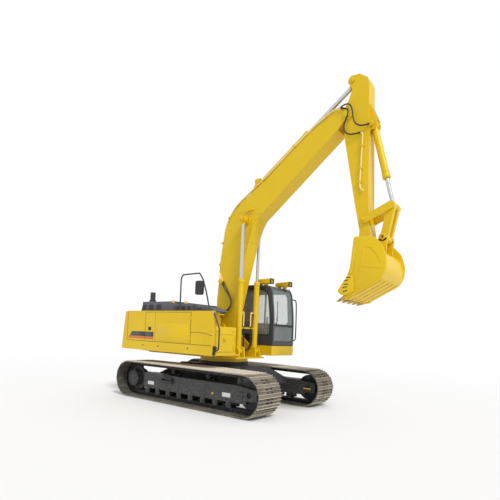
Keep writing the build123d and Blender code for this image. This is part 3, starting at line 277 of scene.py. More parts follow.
def floatGlass():
    # Toughened float glass with a light grey-green tint, made pale to paint in its reflections, and a thin
    # film of dust in soft patches
    material, tree, place = startMaterial("floatGlass", Roughness=0.03, IOR=1.52, Alpha=0.2)
    film = addNode(tree, "TexNoise", pattern(place, 420.0, Detail=6.0))
    # the pale colours are partly painted reflection; the lighter patches are dust
    tintWithPaintedReflection = addNode(tree, "MixRGB", {0: film, 1: "B4C2C4", 2: "DDE4E4"})
    return linkSurface(material, Base_Color=tintWithPaintedReflection)


def mouldedPlastic(name, colour, roughness):
    # Injection moulded polypropylene: a fine spark-eroded grain, dull, evenly coloured
    material, tree, place = startMaterial(name, Roughness=roughness, IOR=1.49)
    grain = addNode(tree, "TexNoise", pattern(place, 5.0, Detail=3.0))
    light = addNode(tree, "MapRange", {0: grain, 3: 0.0, 4: 0.35})
    shade = addNode(tree, "MixRGB", {0: light, 1: colour, 2: "3C3D3F"})
    bump = addNode(tree, "Bump", {"Strength": 0.25, "Distance": 0.0008, "Height": grain})
    return linkSurface(material, Base_Color=shade, Normal=bump)


rodChrome = {name: hardChrome(name + "Chrome", *eye) for name, eye in rodEyes.items()}
windowGlass = floatGlass()
blackPlastic = mouldedPlastic("blackPlastic", "1B1C1E", 0.55)

nodeFinish = {
    yellowEnamel: (
        "main_frame counterweight house_panels fuel_tank tool_box hydraulic_tank work_lamps "
        "right_rear_door tool_box_lid left_rear_door left_front_door boom boom_barrels arm arm_barrel "
        "bucket_barrel side_links bucket_link bucket bucket_teeth"
    ),
    charcoalEnamel: "car_body side_frames final_drives handrails exhaust_stack",
    cabEnamel: "cab_shell cab_door",
    coverCoating: "deck_covers engine_hood",
    castSteel: "swing_bearing idlers track_rollers carrier_rollers engine_block",
    shoeSteel: "track_left track_right",
    windowGlass: "cab_glass cab_door_glass",
    blackPlastic: "operator_seat cab_console side_mirror",
}
nodeFinish.update({finish: name for name, finish in rodChrome.items()})
for finish, names in nodeFinish.items():
    for piece in (nodes[name] for name in names.split()):
        if not piece.material_slots:
            piece.data.materials.append(finish)
        for slot in piece.material_slots:
            slot.material = finish
print("stage: frame nodes finished")


# Shaping helpers: sizes in millimetres, forms in metres

def spread(u, v, level, axis):
    # a point of a flat outline: x and z for a plate across Y, y and z for one across X
    order = {"Y": (u, level, v), "X": (level, u, v)}[axis]
    return Vector(order) / 1000


def outlineForm(points, axis, level):
    # one flat face; a point's third value, where it has one, rounds its corner from that far away
    form = bmesh.new()
    corners = [form.verts.new(spread(*point[:2], level, axis)) for point in points]
    form.faces.new(corners)
    for corner, (_, _, *cut) in zip(corners, points):
        if any(cut):
            bmesh.ops.bevel(
                form, geom=[corner], offset=cut[0] / 1000, offset_type="OFFSET", segments=6,
                profile=0.5, affect="VERTICES", material=-1,
            )
    return form


def boxLine(u0, v0, u1, v1, cut=0):
    # the four corners of an upright outline
    return [(u0, v0, cut), (u1, v0, cut), (u1, v1, cut), (u0, v1, cut)]


def ringPlaces(u, v, radius, count):
    # points at equal steps round a circle
    turns = (2 * math.pi * k / count for k in range(count))
    return [(u + radius * math.cos(turn), v + radius * math.sin(turn)) for turn in turns]


def joinForm(form, added):
    # the added form put into the form, and used up
    mesh = bpy.data.meshes.new("joined")
    added.to_mesh(mesh)
    added.free()
    form.from_mesh(mesh)
    bpy.data.meshes.remove(mesh)


def softenEdges(form, edge, angle=30.0):
    # every edge sharper than the angle rounded off
    sharp = [e for e in form.edges if len(e.link_faces) == 2 and e.calc_face_angle() > math.radians(angle)]
    bmesh.ops.bevel(
        form, geom=sharp, offset=edge / 1000, segments=2, profile=0.5,
        affect="EDGES", material=-1, clamp_overlap=True,
    )


def growPlate(form, flat, rise, edge=0.0):
    # a flat sheet grown along rise into a plate
    grown = bmesh.ops.extrude_face_region(flat, geom=flat.faces[:])["geom"]
    bmesh.ops.translate(flat, vec=rise, verts=[v for v in grown if isinstance(v, bmesh.types.BMVert)])
    bmesh.ops.recalc_face_normals(flat, faces=flat.faces)
    if edge:
        softenEdges(flat, edge)
    joinForm(form, flat)


def addPlate(form, points, low, high, axis="Y", edge=0.0):
    # a plate with the points as its outline, from one level to another
    growPlate(form, outlineForm(points, axis, low), spread(0, 0, high - low, axis), edge)


def addRing(form, outer, inner, low, high, axis="Y"):
    # a plate with one window in it
    flat = outlineForm(outer, axis, low)
    joinForm(flat, outlineForm(inner, axis, low))
    bmesh.ops.delete(flat, geom=flat.faces[:], context="FACES_ONLY")
    bmesh.ops.triangle_fill(flat, use_beauty=True, use_dissolve=False, edges=flat.edges[:])
    growPlate(form, flat, spread(0, 0, high - low, axis))


def addBlock(form, low, high, edge=0.0, tilt=0.0):
    # a box between two corners, its edges rounded, tilted about Y round its own middle
    solid = bmesh.new()
    size = [(h - l) / 1000 for l, h in zip(low, high)]
    middle = Vector([(h + l) / 2000 for l, h in zip(low, high)])
    bmesh.ops.create_cube(solid, size=1.0)
    bmesh.ops.scale(solid, vec=size, verts=solid.verts)
    if edge:
        softenEdges(solid, edge)
    bmesh.ops.rotate(solid, matrix=Matrix.Rotation(math.radians(tilt), 3, "Y"), verts=solid.verts)
    bmesh.ops.translate(solid, vec=middle, verts=solid.verts)
    joinForm(form, solid)


def addRound(form, start, end, radius, sides=24, edge=0.0, tip=None):
    # a round or many-sided bar from start to end
    solid = bmesh.new()
    a, b = Vector(start) / 1000, Vector(end) / 1000
    turn = (b - a).to_track_quat("Z", "Y").to_matrix().to_4x4()
    bmesh.ops.create_cone(
        solid, cap_ends=True, segments=sides, radius1=radius / 1000,
        radius2=(radius if tip is None else tip) / 1000, depth=(b - a).length,
        matrix=Matrix.Translation((a + b) / 2) @ turn,
    )
    if edge:
        softenEdges(solid, edge, angle=50.0)
    joinForm(form, solid)


def addAcross(form, place, near, far, radius, **more):
    # a round bar across the machine at an x and z, from one y to another
    x, z = place
    addRound(form, (x, near, z), (x, far, z), radius, **more)


def putPiece(name, form, finish, body, crease=35.0):
    # the finished form as a piece that rides on its body
    mesh = bpy.data.meshes.new(name)
    form.to_mesh(mesh)
    form.free()
    mesh.materials.append(finish)
    mesh.polygons.foreach_set("use_smooth", [True] * len(mesh.polygons))
    mesh.set_sharp_from_angle(angle=math.radians(crease))
    piece = bpy.data.objects.new(name, mesh)
    bpy.context.scene.collection.objects.link(piece)
    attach(piece, body)
    return piece


def putSolids(name, finish, body, blocks=(), rounds=()):
    # a piece made of boxes and round bars alone, each with what addBlock or addRound takes
    form = bmesh.new()
    for block in blocks:
        addBlock(form, *block)
    for bar in rounds:
        addRound(form, *bar)
    return putPiece(name, form, finish, body)


def routeCurve(name, points, diameter):
    # a round line along a smooth route, points in millimetres
    data = bpy.data.curves.new(name, "CURVE")
    data.dimensions = "3D"
    data.resolution_u = 6
    data.bevel_depth = diameter / 2000
    data.bevel_resolution = 3
    data.use_fill_caps = True
    spline = data.splines.new("NURBS")
    spline.points.add(len(points) - 1)
    for knot, point in zip(spline.points, points):
        knot.co = (*(Vector(point) / 1000), 1.0)
    spline.order_u = 3
    spline.use_endpoint_u = True
    curve = bpy.data.objects.new(name, data)
    bpy.context.scene.collection.objects.link(curve)
    return curve


def routeLine(curve):
    # the points that the bare route passes through
    bare = curve.data.copy()
    bare.bevel_depth = 0
    line = bpy.data.objects.new("bareRoute", bare)
    mesh = bpy.data.meshes.new_from_object(line)
    path = [tuple(v.co) for v in mesh.vertices]
    bpy.data.objects.remove(line)
    bpy.data.curves.remove(bare)
    bpy.data.meshes.remove(mesh)
    return path


def routeTube(name, points, diameter, finish):
    # the route as a mesh tube at the origin, and the points that it passes through
    curve = routeCurve(name + "Route", points, diameter)
    path = routeLine(curve)
    mesh = bpy.data.meshes.new_from_object(curve)
    mesh.name = name
    bpy.data.objects.remove(curve)
    mesh.materials.clear()
    mesh.materials.append(finish)
    tube = bpy.data.objects.new(name, mesh)
    bpy.context.scene.collection.objects.link(tube)
    return tube, path


# Undercarriage details

trackDetail = {
    "shoes": 54, "halfWheelbase": 1975.0, "pinRadius": 385.0, "groundRun": 85.0, "gauge": 1200.0,
    "lift": 14.0, "liftXs": (690.0, -500.0), "chainHalf": 95.0, "arcSteps": 48,
    "linkThick": 8.0, "linkHalfHeight": 33.0, "eyeRadius": 45.0, "pinEnd": 20.0, "pinProud": 15.0,
    "boltXs": (0.28, 0.70), "boltYs": (58.0, 92.0), "boltRadius": 15.0, "boltHeight": 13.0, "plateTop": 58.0,
}


def pinPlaces(spec):
    # pins at equal steps along the loop: ground run, idler arc, lifted top run, sprocket arc
    half, radius, low = spec["halfWheelbase"], spec["pinRadius"], spec["groundRun"]
    top, steps = low + 2 * radius, spec["arcSteps"]
    turns = (math.pi * k / steps for k in range(1, steps + 1))
    arc = [(radius * math.sin(turn), radius * math.cos(turn)) for turn in turns]
    corners = [(-half, low), (half, low)]
    corners += [(half + ahead, low + radius - rise) for ahead, rise in arc]
    corners += [(x, top + spec["lift"]) for x in spec["liftXs"]] + [(-half, top)]
    corners += [(-half - back, low + radius + rise) for back, rise in arc]
    runs = [Vector(b) - Vector(a) for a, b in zip(corners, corners[1:])]
    pitch = sum(run.length for run in runs) / spec["shoes"]
    places, passed, reach = [], 0.0, 0.0
    for corner, run in zip(corners, runs):
        while reach < passed + run.length - 1e-6 and len(places) < spec["shoes"]:
            places.append(Vector(corner) + run * ((reach - passed) / run.length))
            reach += pitch
        passed += run.length
    return places


def makeTrackDetail(name, side, spec):
    # link plates, pin ends and the four bolts that hold each shoe
    form = bmesh.new()
    pins = pinPlaces(spec)
    centre = side * spec["gauge"]
    for here, after in zip(pins, pins[1:] + pins[:1]):
        chord = (after - here).normalized()
        up = Vector((chord.y, -chord.x))
        rise = up * spec["linkHalfHeight"]
        strap = (here - rise, after - rise, after + rise, here + rise)
        for flank in (1, -1):
            inside = centre + flank * spec["chainHalf"]
            outside = inside + flank * spec["linkThick"]
            addAcross(form, here, inside - flank * 2, outside, spec["eyeRadius"], sides=12)
            proud = inside + flank * spec["pinProud"]
            addAcross(form, here, outside - flank * 2, proud, spec["pinEnd"], sides=8)
            addPlate(form, strap, *sorted((inside, inside + flank * spec["linkThick"] / 2)))
        for share in spec["boltXs"]:
            seat = here + (after - here) * share + up * (spec["plateTop"] - 2)
            tip = seat + up * (spec["boltHeight"] + 2)
            for across in spec["boltYs"]:
                for y in (centre + across, centre - across):
                    addRound(form, (seat.x, y, seat.y), (tip.x, y, tip.y), spec["boltRadius"], sides=6)
    putPiece(name, form, castSteel, "undercarriage")


makeTrackDetail("track_links_left", 1, trackDetail)
makeTrackDetail("track_links_right", -1, trackDetail)
print("stage: track links, pins and shoe bolts")


driveDetail = {
    # cover and hub: radius below, radius on top, height; rings of bolts: radius of the ring, number
    "centre": (-1975.0, 470.0), "face": 1385.0, "cover": (188.0, 176.0, 8.0), "hub": (88.0, 72.0, 18.0),
    "bolts": (158.0, 18), "boltRadius": 13.0, "boltHeight": 9.0,
    "plugRing": 118.0, "plugTurns": (60, -90), "plugRadius": 20.0, "plugHeight": 16.0,
    "rimFace": 1231.0, "rimBolts": (240.0, 24), "rimBoltRadius": 12.0, "rimBoltHeight": 10.0,
}


def makeDriveDetail(spec):
    # stepped cover with its ring of bolts, filler plugs and the bolts on the sprocket's rim
    form = bmesh.new()
    x, z = spec["centre"]
    for side in (1, -1):
        face, rim = side * spec["face"], side * spec["rimFace"]
        for big, small, proud in (spec["cover"], spec["hub"]):
            addAcross(form, (x, z), face - side * 3, face + side * proud, big, tip=small, sides=48)
        start = face + side * (spec["cover"][2] - 2)
        for place in ringPlaces(x, z, *spec["bolts"]):
            addAcross(form, place, start, start + side * spec["boltHeight"], spec["boltRadius"], sides=6)
        for turn in map(math.radians, spec["plugTurns"]):
            place = x + spec["plugRing"] * math.cos(turn), z + spec["plugRing"] * math.sin(turn)
            addAcross(form, place, face, face + side * spec["plugHeight"], spec["plugRadius"], sides=8)
        tip = rim + side * spec["rimBoltHeight"]
        for place in ringPlaces(x, z, *spec["rimBolts"]):
            addAcross(form, place, rim - side * 2, tip, spec["rimBoltRadius"], sides=6)
    putPiece("final_drive_bolts", form, charcoalEnamel, "undercarriage")


makeDriveDetail(driveDetail)


frameDetail = {
    # caps and bolts: radius and how far they stand out of the frame's wall
    "wall": 1365.0, "rollerXs": (-1400.0, 1400.0, 8), "rollerZ": 220.0,
    "cap": (44.0, 10.0), "capTip": 38.0, "shaftBolt": (17.0, 18.0),
    "saddleBolt": (15.0, 12.0), "saddleReach": 58.0, "saddleRise": 84.0,
    "stepX": (-780.0, -410.0), "stepZ": (478.0, 582.0), "stepOut": 62.0, "stepSheet": 14.0,
    "adjuster": (1700, 400, 1820, 540), "adjusterOut": 10.0,
    "adjusterBolt": (11.0, 20.0), "boltInset": (22, 20),
}


def makeFrameDetail(spec):
    # caps and bolts of the roller shafts, step bracket, and the yoke's adjuster plate with its bolts
    form = bmesh.new()
    first, last, count = spec["rollerXs"]
    (x0, x1), (z0, z1), sheet = spec["stepX"], spec["stepZ"], spec["stepSheet"]
    for side in (1, -1):
        wall = side * spec["wall"]
        for k in range(count):
            x, z = first + (last - first) * k / (count - 1), spec["rollerZ"]
            cap, out = spec["cap"]
            addAcross(form, (x, z), wall - side * 4, wall + side * out, cap, tip=spec["capTip"], sides=20)
            bolt, out = spec["shaftBolt"]
            addAcross(form, (x, z), wall, wall + side * out, bolt, sides=6)
            bolt, out = spec["saddleBolt"]
            for lean in (-spec["saddleReach"], spec["saddleReach"]):
                place = (x + lean, z + spec["saddleRise"])
                addAcross(form, place, wall - side * 2, wall + side * out, bolt, sides=6)
        low, high = sorted((wall - side * 3, wall + side * spec["stepOut"]))
        for z in (z0, z1 - sheet):
            addBlock(form, (x0, low, z), (x1, high, z + sheet), edge=4)
        for x in (x0, x1 - sheet):
            addBlock(form, (x, low, z0), (x + sheet, high, z1), edge=4)
        low, high = sorted((wall + side * (spec["stepOut"] - 12), wall + side * spec["stepOut"]))
        for z in (z0, z1 - sheet):
            addBlock(form, (x0, low, z), (x1, high, z + 40), edge=4)
        u0, v0, u1, v1 = spec["adjuster"]
        low, high = sorted((wall, wall + side * spec["adjusterOut"]))
        addBlock(form, (u0, low, v0), (u1, high, v1), edge=4)
        bolt, out = spec["adjusterBolt"]
        across, up = spec["boltInset"]
        for u, v, _ in boxLine(u0 + across, v0 + up, u1 - across, v1 - up):
            addAcross(form, (u, v), wall + side * 8, wall + side * out, bolt, sides=6)
    putPiece("frame_fittings", form, charcoalEnamel, "undercarriage")


makeFrameDetail(frameDetail)


signFilms = {
    "paperWhite": "F2F2F0", "signalYellow": "F0C400", "plateBlack": "2A2522", "stripeOrange": "D9691E",
}
signPlates = {
    # film, body, y of the surface, x and z of two opposite corners, how far the upper rear corner leans in
    "frame_plate_rear": ("paperWhite", "undercarriage", -1365.0, (-1372, 362, -1132, 452), 0),
    "frame_plate_front": ("paperWhite", "undercarriage", -1365.0, (1218, 366, 1458, 462), 0),
    "frame_dot": ("signalYellow", "undercarriage", -1365.0, (898, 376, 948, 424), 0),
    "side_plate_rear": ("plateBlack", "upperstructure", -1480.0, (-2080, 1592, -1428, 1716), 95),
    "side_plate_front": ("plateBlack", "right_rear_door", -1480.0, (-1418, 1592, -1092, 1716), 0),
    "side_stripe_rear": ("stripeOrange", "upperstructure", -1480.0, (-2140, 1528, -1428, 1588), 40),
    "side_stripe_front": ("stripeOrange", "right_rear_door", -1480.0, (-1418, 1528, -1092, 1588), 0),
    "far_frame_mark": ("signalYellow", "undercarriage", 1035.0, (1850, 420, 2070, 456), 0),
}


def vinylFilm(name, colour):
    # Cast vinyl film on paint: flat colour with a satin face, faintly faded in soft patches
    material, tree, place = startMaterial(name, Roughness=0.42, IOR=1.5)
    fade = addNode(tree, "TexNoise", pattern(place, 240.0, Detail=3.0))
    light = addNode(tree, "MapRange", {0: fade, 1: 0.3, 2: 0.8, 3: 0.0, 4: 0.18})
    tone = addNode(tree, "MixRGB", {0: light, 1: colour, 2: "C9C6BE"})
    return linkSurface(material, Base_Color=tone)


def makeSigns(table, films):
    # blank plates and stripes, each a thin film with rounded corners
    films = {name: vinylFilm(name, colour) for name, colour in films.items()}
    for name, (film, body, face, (x0, z0, x1, z1), lean) in table.items():
        form = bmesh.new()
        outline = ((x0, z0, 6), (x1, z0, 6), (x1, z1, 6), (x0 + lean, z1, 6))
        addPlate(form, outline, face - 2.5, face + 1.0, edge=0.8)
        putPiece(name, form, films[film], body)


makeSigns(signPlates, signFilms)
print("stage: undercarriage fittings and blank plates")


# Upperstructure: covers, seams, latches

coverShape = {
    # outline of each pressing in x, z and corner, with the y of its inner edge
    "outerY": -1385.0, "edge": 16.0,
    "pressings": (
        (((-1770, 2250), (-1700, 2440, 50), (-1560, 2500, 60), (-800, 2486, 40), (-520, 2452, 40),
          (-480, 2250)), -1110),
        (((-470, 2250), (-455, 2420, 30), (-340, 2450, 40), (-200, 2425, 40), (-60, 2436, 40),
          (60, 2396, 40), (215, 2402, 30), (232, 2250)), -430),
        (((240, 2250), (255, 2372, 30), (410, 2352, 40), (585, 2348, 40), (800, 2312, 40), (868, 2262, 20),
          (868, 2252)), -890),
    ),
    "step": ((-735, 2250), (-725, 2424, 20), (-485, 2418, 20), (-480, 2250)),
    # grips: x of both ends and the top
    "grips": (
        (-1690, -1560, 2398), (-1420, -1270, 2398), (-1120, -960, 2398), (-400, -270, 2352),
        (-180, -70, 2352), (10, 110, 2352), (330, 470, 2312),
    ),
    "gripLow": 2296, "gripRim": 12, "gripY": (-1389, -1386.5, -1380),
    # from and to in z, radius below and above: caps over each place, collar round the exhaust
    "caps": ((-600, -1300, 2452), (-150, -1300, 2430)), "capSteps": ((-12, 30, 46, 34), (28, 74, 30, 14)),
    "exhaust": (-1530, -1200), "collar": ((2440, 2535, 92, 80), (2535, 2560, 76, 76), (2640, 2656, 72, 72)),
    "collarBolts": (84, 6), "collarBolt": (2530, 2548, 9),
}


def makeCovers(spec):
    # three pressed steel covers along the right edge, walked on, with sunken grips in their sides
    form = bmesh.new()
    for outline, inner in spec["pressings"]:
        addPlate(form, outline, spec["outerY"], inner, edge=spec["edge"])
    # lower step inboard of the raised cover
    addPlate(form, spec["step"], -1100, -430, edge=10)
    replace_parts(putPiece("deck_cover_shells", form, coverCoating, "upperstructure"), "deck_covers")
    form = bmesh.new()
    low, rim = spec["gripLow"], spec["gripRim"]
    face, floor, back = spec["gripY"]
    for x0, x1, top in spec["grips"]:
        opening = boxLine(x0, low, x1, top, 8)
        addRing(form, boxLine(x0 - rim, low - rim, x1 + rim, top + rim, rim), opening, face, back)
        addPlate(form, opening, floor, back)
    putPiece("deck_cover_grips", form, blackPlastic, "upperstructure")
    # yellow filler caps that stand over the covers
    putSolids("cover_caps", yellowEnamel, "upperstructure", rounds=[
        ((x, y, z + low), (x, y, z + high), below, 20, 0, above)
        for x, y, z in spec["caps"] for low, high, below, above in spec["capSteps"]
    ])
    # collar of the exhaust with its bolts, and the ring above it
    x, y = spec["exhaust"]
    bars = [((x, y, low), (x, y, high), below, 32, 0, above) for low, high, below, above in spec["collar"]]
    low, high, radius = spec["collarBolt"]
    bars += [((u, v, low), (u, v, high), radius, 6) for u, v in ringPlaces(x, y, *spec["collarBolts"])]
    putSolids("exhaust_collar", charcoalEnamel, "upperstructure", rounds=bars)


makeCovers(coverShape)


seamLines = {
    # body, width, x and z of both ends, on the right side
    "upperstructure": (9.0, (
        ((-2170, 1478), (935, 1468)), ((-1424, 1478), (-1424, 2214)), ((250, 1470), (250, 2214)),
        ((-1424, 2217), (250, 2217)), ((-2178, 1480), (-2178, 2236)), ((258, 1745), (470, 1762)),
        ((470, 1762), (700, 1742)), ((700, 1742), (952, 1690)),
    )),
    "right_rear_door": (4.0, (((-1040, 1480), (-1040, 2212)),)),
}


def makeSeams(table):
    # black strips along the seams between the side panels, painted shade of the gaps
    for body, (width, lines) in table.items():
        form = bmesh.new()
        for a, b in ((Vector(start), Vector(end)) for start, end in lines):
            across = (b - a).orthogonal().normalized() * width / 2
            addPlate(form, (a + across, b + across, b - across, a - across), -1482.0, -1476.0)
        putPiece("seam_shade_strip_" + body, form, blackPlastic, body)


makeSeams(seamLines)


sideDetail = {
    "wallY": -1478,
    "arch": (
        (-1030, 1500, 8), (190, 1500, 8), (190, 1905, 60), (-20, 1950, 200), (-520, 1962, 120),
        (-815, 1922, 120), (-1030, 1845, 20),
    ),
    "archY": -1487, "latch": (-1300, 1755, -1196, 1840),
    "lidLatch": (((976, -1120, 1580), (984, -1040, 1650), 3), ((983, -1104, 1596), (996, -1056, 1634), 4)),
    "skirtXs": (-1500, -900, 170), "skirtZ": 1370, "boxBoltYs": (-1340, -800),
    "hornBracket": ((955, -1455, 1300), (990, -1385, 1400), 8),
    "horn": (
        ((975, -1420, 1400), (1000, -1420, 1440), 30, 24, 3, 52),
        ((972, -1442, 1285), (1002, -1442, 1285), 34, 24, 4),
    ),
}


def makeSidePanels(spec):
    # pressed field of the door
    form = bmesh.new()
    addPlate(form, spec["arch"], spec["archY"], spec["wallY"], edge=6)
    putPiece("door_pressing", form, yellowEnamel, "right_rear_door")
    # its latch in a framed pocket
    form = bmesh.new()
    x0, z0, x1, z1 = spec["latch"]
    opening = boxLine(x0 + 12, z0 + 12, x1 - 12, z1 - 12, 6)
    addRing(form, boxLine(x0, z0, x1, z1, 10), opening, -1486, spec["wallY"])
    addPlate(form, boxLine(x0 + 8, z0 + 8, x1 - 8, z1 - 8, 4), -1482, spec["wallY"])
    addBlock(form, (x0 + 26, -1490, z0 + 30), (x1 - 18, -1481, z1 - 30), edge=3)
    putPiece("door_latch", form, blackPlastic, "right_rear_door")
    putSolids("lid_latch", yellowEnamel, "tool_box_lid", blocks=spec["lidLatch"])
    # bolts along the skirt with their washers, and the bolts of the toolbox
    wall, z = spec["wallY"], spec["skirtZ"]
    bolts = [((x, wall, z), (x, wall - out, z), radius, sides)
             for x in spec["skirtXs"] for out, radius, sides in ((11, 13, 6), (5, 20, 20))]
    bolts += [((976, y, 1800), (985, y, 1800), 12, 6) for y in spec["boxBoltYs"]]
    putSolids("skirt_bolts", charcoalEnamel, "upperstructure", rounds=bolts)
    # dark horn and its bracket at the foot of the step rail
    bracket = [spec["hornBracket"]]
    putSolids("corner_horn", blackPlastic, "upperstructure", blocks=bracket, rounds=spec["horn"])


makeSidePanels(sideDetail)
print("stage: covers, seams and latches")


# Work lamps on the cab roof

lampShape = {
    # rear and front end and the y of each lamp
    "places": ((540.0, 1000.0, 620.0), (640.0, 1095.0, 1360.0)),
    "low": 3118.0, "high": 3250.0, "halfWidth": 82.0,
    "footLow": 3070, "footHalf": 50, "footXs": (60, 250), "lensHalf": 70, "openingHalf": 66, "ribHalf": 4,
    "ribs": (-48, -24, 0, 24, 48),
}


def makeLamps(spec):
    # folded housings on two feet each, a dark bezel with a ribbed lens in front
    form, dark = bmesh.new(), bmesh.new()
    low, high, half = spec["low"], spec["high"], spec["halfWidth"]
    for rear, front, y in spec["places"]:
        profile = (
            (rear, low + 24, 20), (rear + 60, low, 12), (front, low), (front, high),
            (rear + 70, high - 14, 20), (rear, high - 44, 20),
        )
        addPlate(form, profile, y - half, y + half, edge=7)
        foot = spec["footHalf"]
        for x in (rear + step for step in spec["footXs"]):
            addBlock(form, (x, y - foot, spec["footLow"]), (x + 60, y + foot, low + 14), edge=4)
        rim = boxLine(y - half, low - 2, y + half, high + 2, 16)
        opening = boxLine(y - spec["openingHalf"], low + 16, y + spec["openingHalf"], high - 16, 12)
        lens = boxLine(y - spec["lensHalf"], low + 12, y + spec["lensHalf"], high - 12, 12)
        addRing(dark, rim, opening, front - 12, front + 14, axis="X")
        addPlate(dark, lens, front - 10, front - 2, axis="X")
        for across in spec["ribs"]:
            y0, y1 = y + across - spec["ribHalf"], y + across + spec["ribHalf"]
            addBlock(dark, (front - 4, y0, low + 18), (front + 3, y1, high - 18), edge=2)
    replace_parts(putPiece("lamp_housings", form, yellowEnamel, "upperstructure"), "work_lamps")
    putPiece("lamp_lenses", dark, blackPlastic, "upperstructure")


makeLamps(lampShape)


# Cab: curved shell, glass, gaskets

cabShape = {
    "profile": (
        (-620, 1490), (1195, 1490, 34), (1195, 1600), (1187, 2260, 240), (1100, 2880), (1066, 2985, 100),
        (1000, 3050, 80), (740, 3085, 160), (-620, 3085, 80),
    ),
    "rightY": 500.0, "leftY": 1480.0, "wall": 50.0, "post": 60.0, "frontX": 980.0, "backX": -600.0,
    "frontLow": 1602.0, "frontHigh": 2985.0, "frontInset": 14.0, "glass": 6.0,
    "sideWindow": (
        (-430, 1770, 60), (1092, 1770, 60), (1080, 2265, 240), (990, 2865, 110), (820, 2965, 90),
        (-430, 2965, 60),
    ),
    "doorway": (
        (-120, 1560), (1020, 1560), (1095, 1630), (1035, 2870), (950, 2985), (-60, 2995), (-120, 2940),
    ),
    "rearWindow": (650.0, 2170.0, 1330.0, 2890.0),
}


def profileLine(points):
    # x and z along the rounded outline, in metres
    flat = outlineForm(points, "Y", 0)
    line = [v.co.copy() for face in flat.faces for v in face.verts]
    flat.free()
    return line


def backFaces(form, spec):
    return [f for f in form.faces if f.calc_center_median().x < spec["backX"] / 1000]


def makeCab(spec):
    right, left, post = spec["rightY"] / 1000, spec["leftY"] / 1000, spec["post"] / 1000
    line = profileLine(spec["profile"])
    form = bmesh.new()
    rows = [[form.verts.new((p.x, y, p.z)) for p in line] for y in (right, right + post, left - post, left)]
    window = []
    for k in range(3):
        for i in range(len(line)):
            face = form.faces.new((rows[k][i - 1], rows[k][i], rows[k + 1][i], rows[k + 1][i - 1]))
            middle = face.calc_center_median() * 1000
            if k == 1 and middle.x > spec["frontX"] and spec["frontLow"] <= middle.z <= spec["frontHigh"]:
                window.append(face)
    pane = [[v.co.copy() for v in face.verts] for face in window]
    bmesh.ops.delete(form, geom=window, context="FACES")
    for row, outline in ((rows[0], spec["sideWindow"]), (rows[3], spec["doorway"])):
        loop = [e for e in form.edges if all(v in row for v in e.verts)]
        hole = outlineForm(outline, "Y", row[0].co.y * 1000)
        bmesh.ops.delete(hole, geom=hole.faces[:], context="FACES_ONLY")
        before = set(form.edges)
        joinForm(form, hole)
        fresh = [e for e in form.edges if e not in before]
        bmesh.ops.triangle_fill(form, use_beauty=True, use_dissolve=False, edges=loop + fresh)
    # rear window: the back wall is cut along its four sides
    y0, z0, y1, z1 = (value / 1000 for value in spec["rearWindow"])
    cuts = [((0, y, 0), (0, 1, 0)) for y in (y0, y1)] + [((0, 0, z), (0, 0, 1)) for z in (z0, z1)]
    for point, normal in cuts:
        back = backFaces(form, spec)
        around = {item for f in back for item in (*f.edges, *f.verts)}
        bmesh.ops.bisect_plane(form, geom=back + list(around), plane_co=point, plane_no=normal, dist=1e-5)
    middles = ((f, f.calc_center_median()) for f in backFaces(form, spec))
    cut = [f for f, middle in middles if y0 < middle.y < y1 and z0 < middle.z < z1]
    bmesh.ops.delete(form, geom=cut, context="FACES")
    bmesh.ops.recalc_face_normals(form, faces=form.faces)
    if max(form.faces, key=lambda f: f.calc_center_median().z).normal.z < 0:
        bmesh.ops.reverse_faces(form, faces=form.faces)
    bmesh.ops.solidify(form, geom=form.faces[:], thickness=spec["wall"] / 1000)
    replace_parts(putPiece("cab_body", form, cabEnamel, "upperstructure", crease=28), "cab_shell")
    # curved front pane, and flat panes at the side and rear
    form = bmesh.new()
    for corners in pane:
        form.faces.new([form.verts.new(corner) for corner in corners])
    bmesh.ops.remove_doubles(form, verts=form.verts, dist=1e-5)
    bmesh.ops.translate(form, vec=(-spec["frontInset"] / 1000, 0, 0), verts=form.verts)
    bmesh.ops.recalc_face_normals(form, faces=form.faces)
    bmesh.ops.solidify(form, geom=form.faces[:], thickness=spec["glass"] / 1000)
    side, back = spec["rightY"] + 22, spec["backX"] + 2
    addPlate(form, spec["sideWindow"], side, side + spec["glass"])
    addPlate(form, boxLine(*spec["rearWindow"]), back, back + spec["glass"], axis="X")
    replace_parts(putPiece("cab_panes", form, windowGlass, "upperstructure"), "cab_glass")


makeCab(cabShape)
print("stage: cab shell and panes")


cabFittings = {
    # low corner, high corner, edge: crossbar, rubber under the front and rear panes, gutter, drip edge
    "trim": (
        ((1150, 560, 1998), (1180, 1420, 2062), 8), ((1168, 552, 1592), (1190, 1428, 1616), 4),
        ((-612, 640, 2160), (-604, 1340, 2172), 2), ((-200, 1478, 3012), (1000, 1494, 3030), 4),
        ((-480, 488, 3000), (900, 502, 3016), 4),
    ),
    "wiperFoot": (1186, 640, 2075), "wiperTip": (1140, 700, 2700),
    "gasketMiddle": (330, 2367), "gasketOut": 14, "gasketIn": -10,
    "glassDivider": ((168, 1462, 2084), (216, 1487, 2926), 4),
    "sillCover": ((1025, 486, 1374), (1120, 497, 1414), 3),
    # left foot lever, and the grab rail on the left front post
    "lever": (
        (850, 1120, 1984), (914, 1120, 1973), (960, 1120, 1839), (1033, 1120, 1737), (975, 1120, 1648),
    ),
    "rail": (
        (1096, 1486, 2772), (1150, 1520, 2772), (1192, 1552, 2740), (1206, 1556, 2400), (1214, 1556, 2000),
        (1216, 1552, 1700), (1200, 1540, 1650), (1150, 1500, 1642), (1120, 1478, 1640),
    ),
}


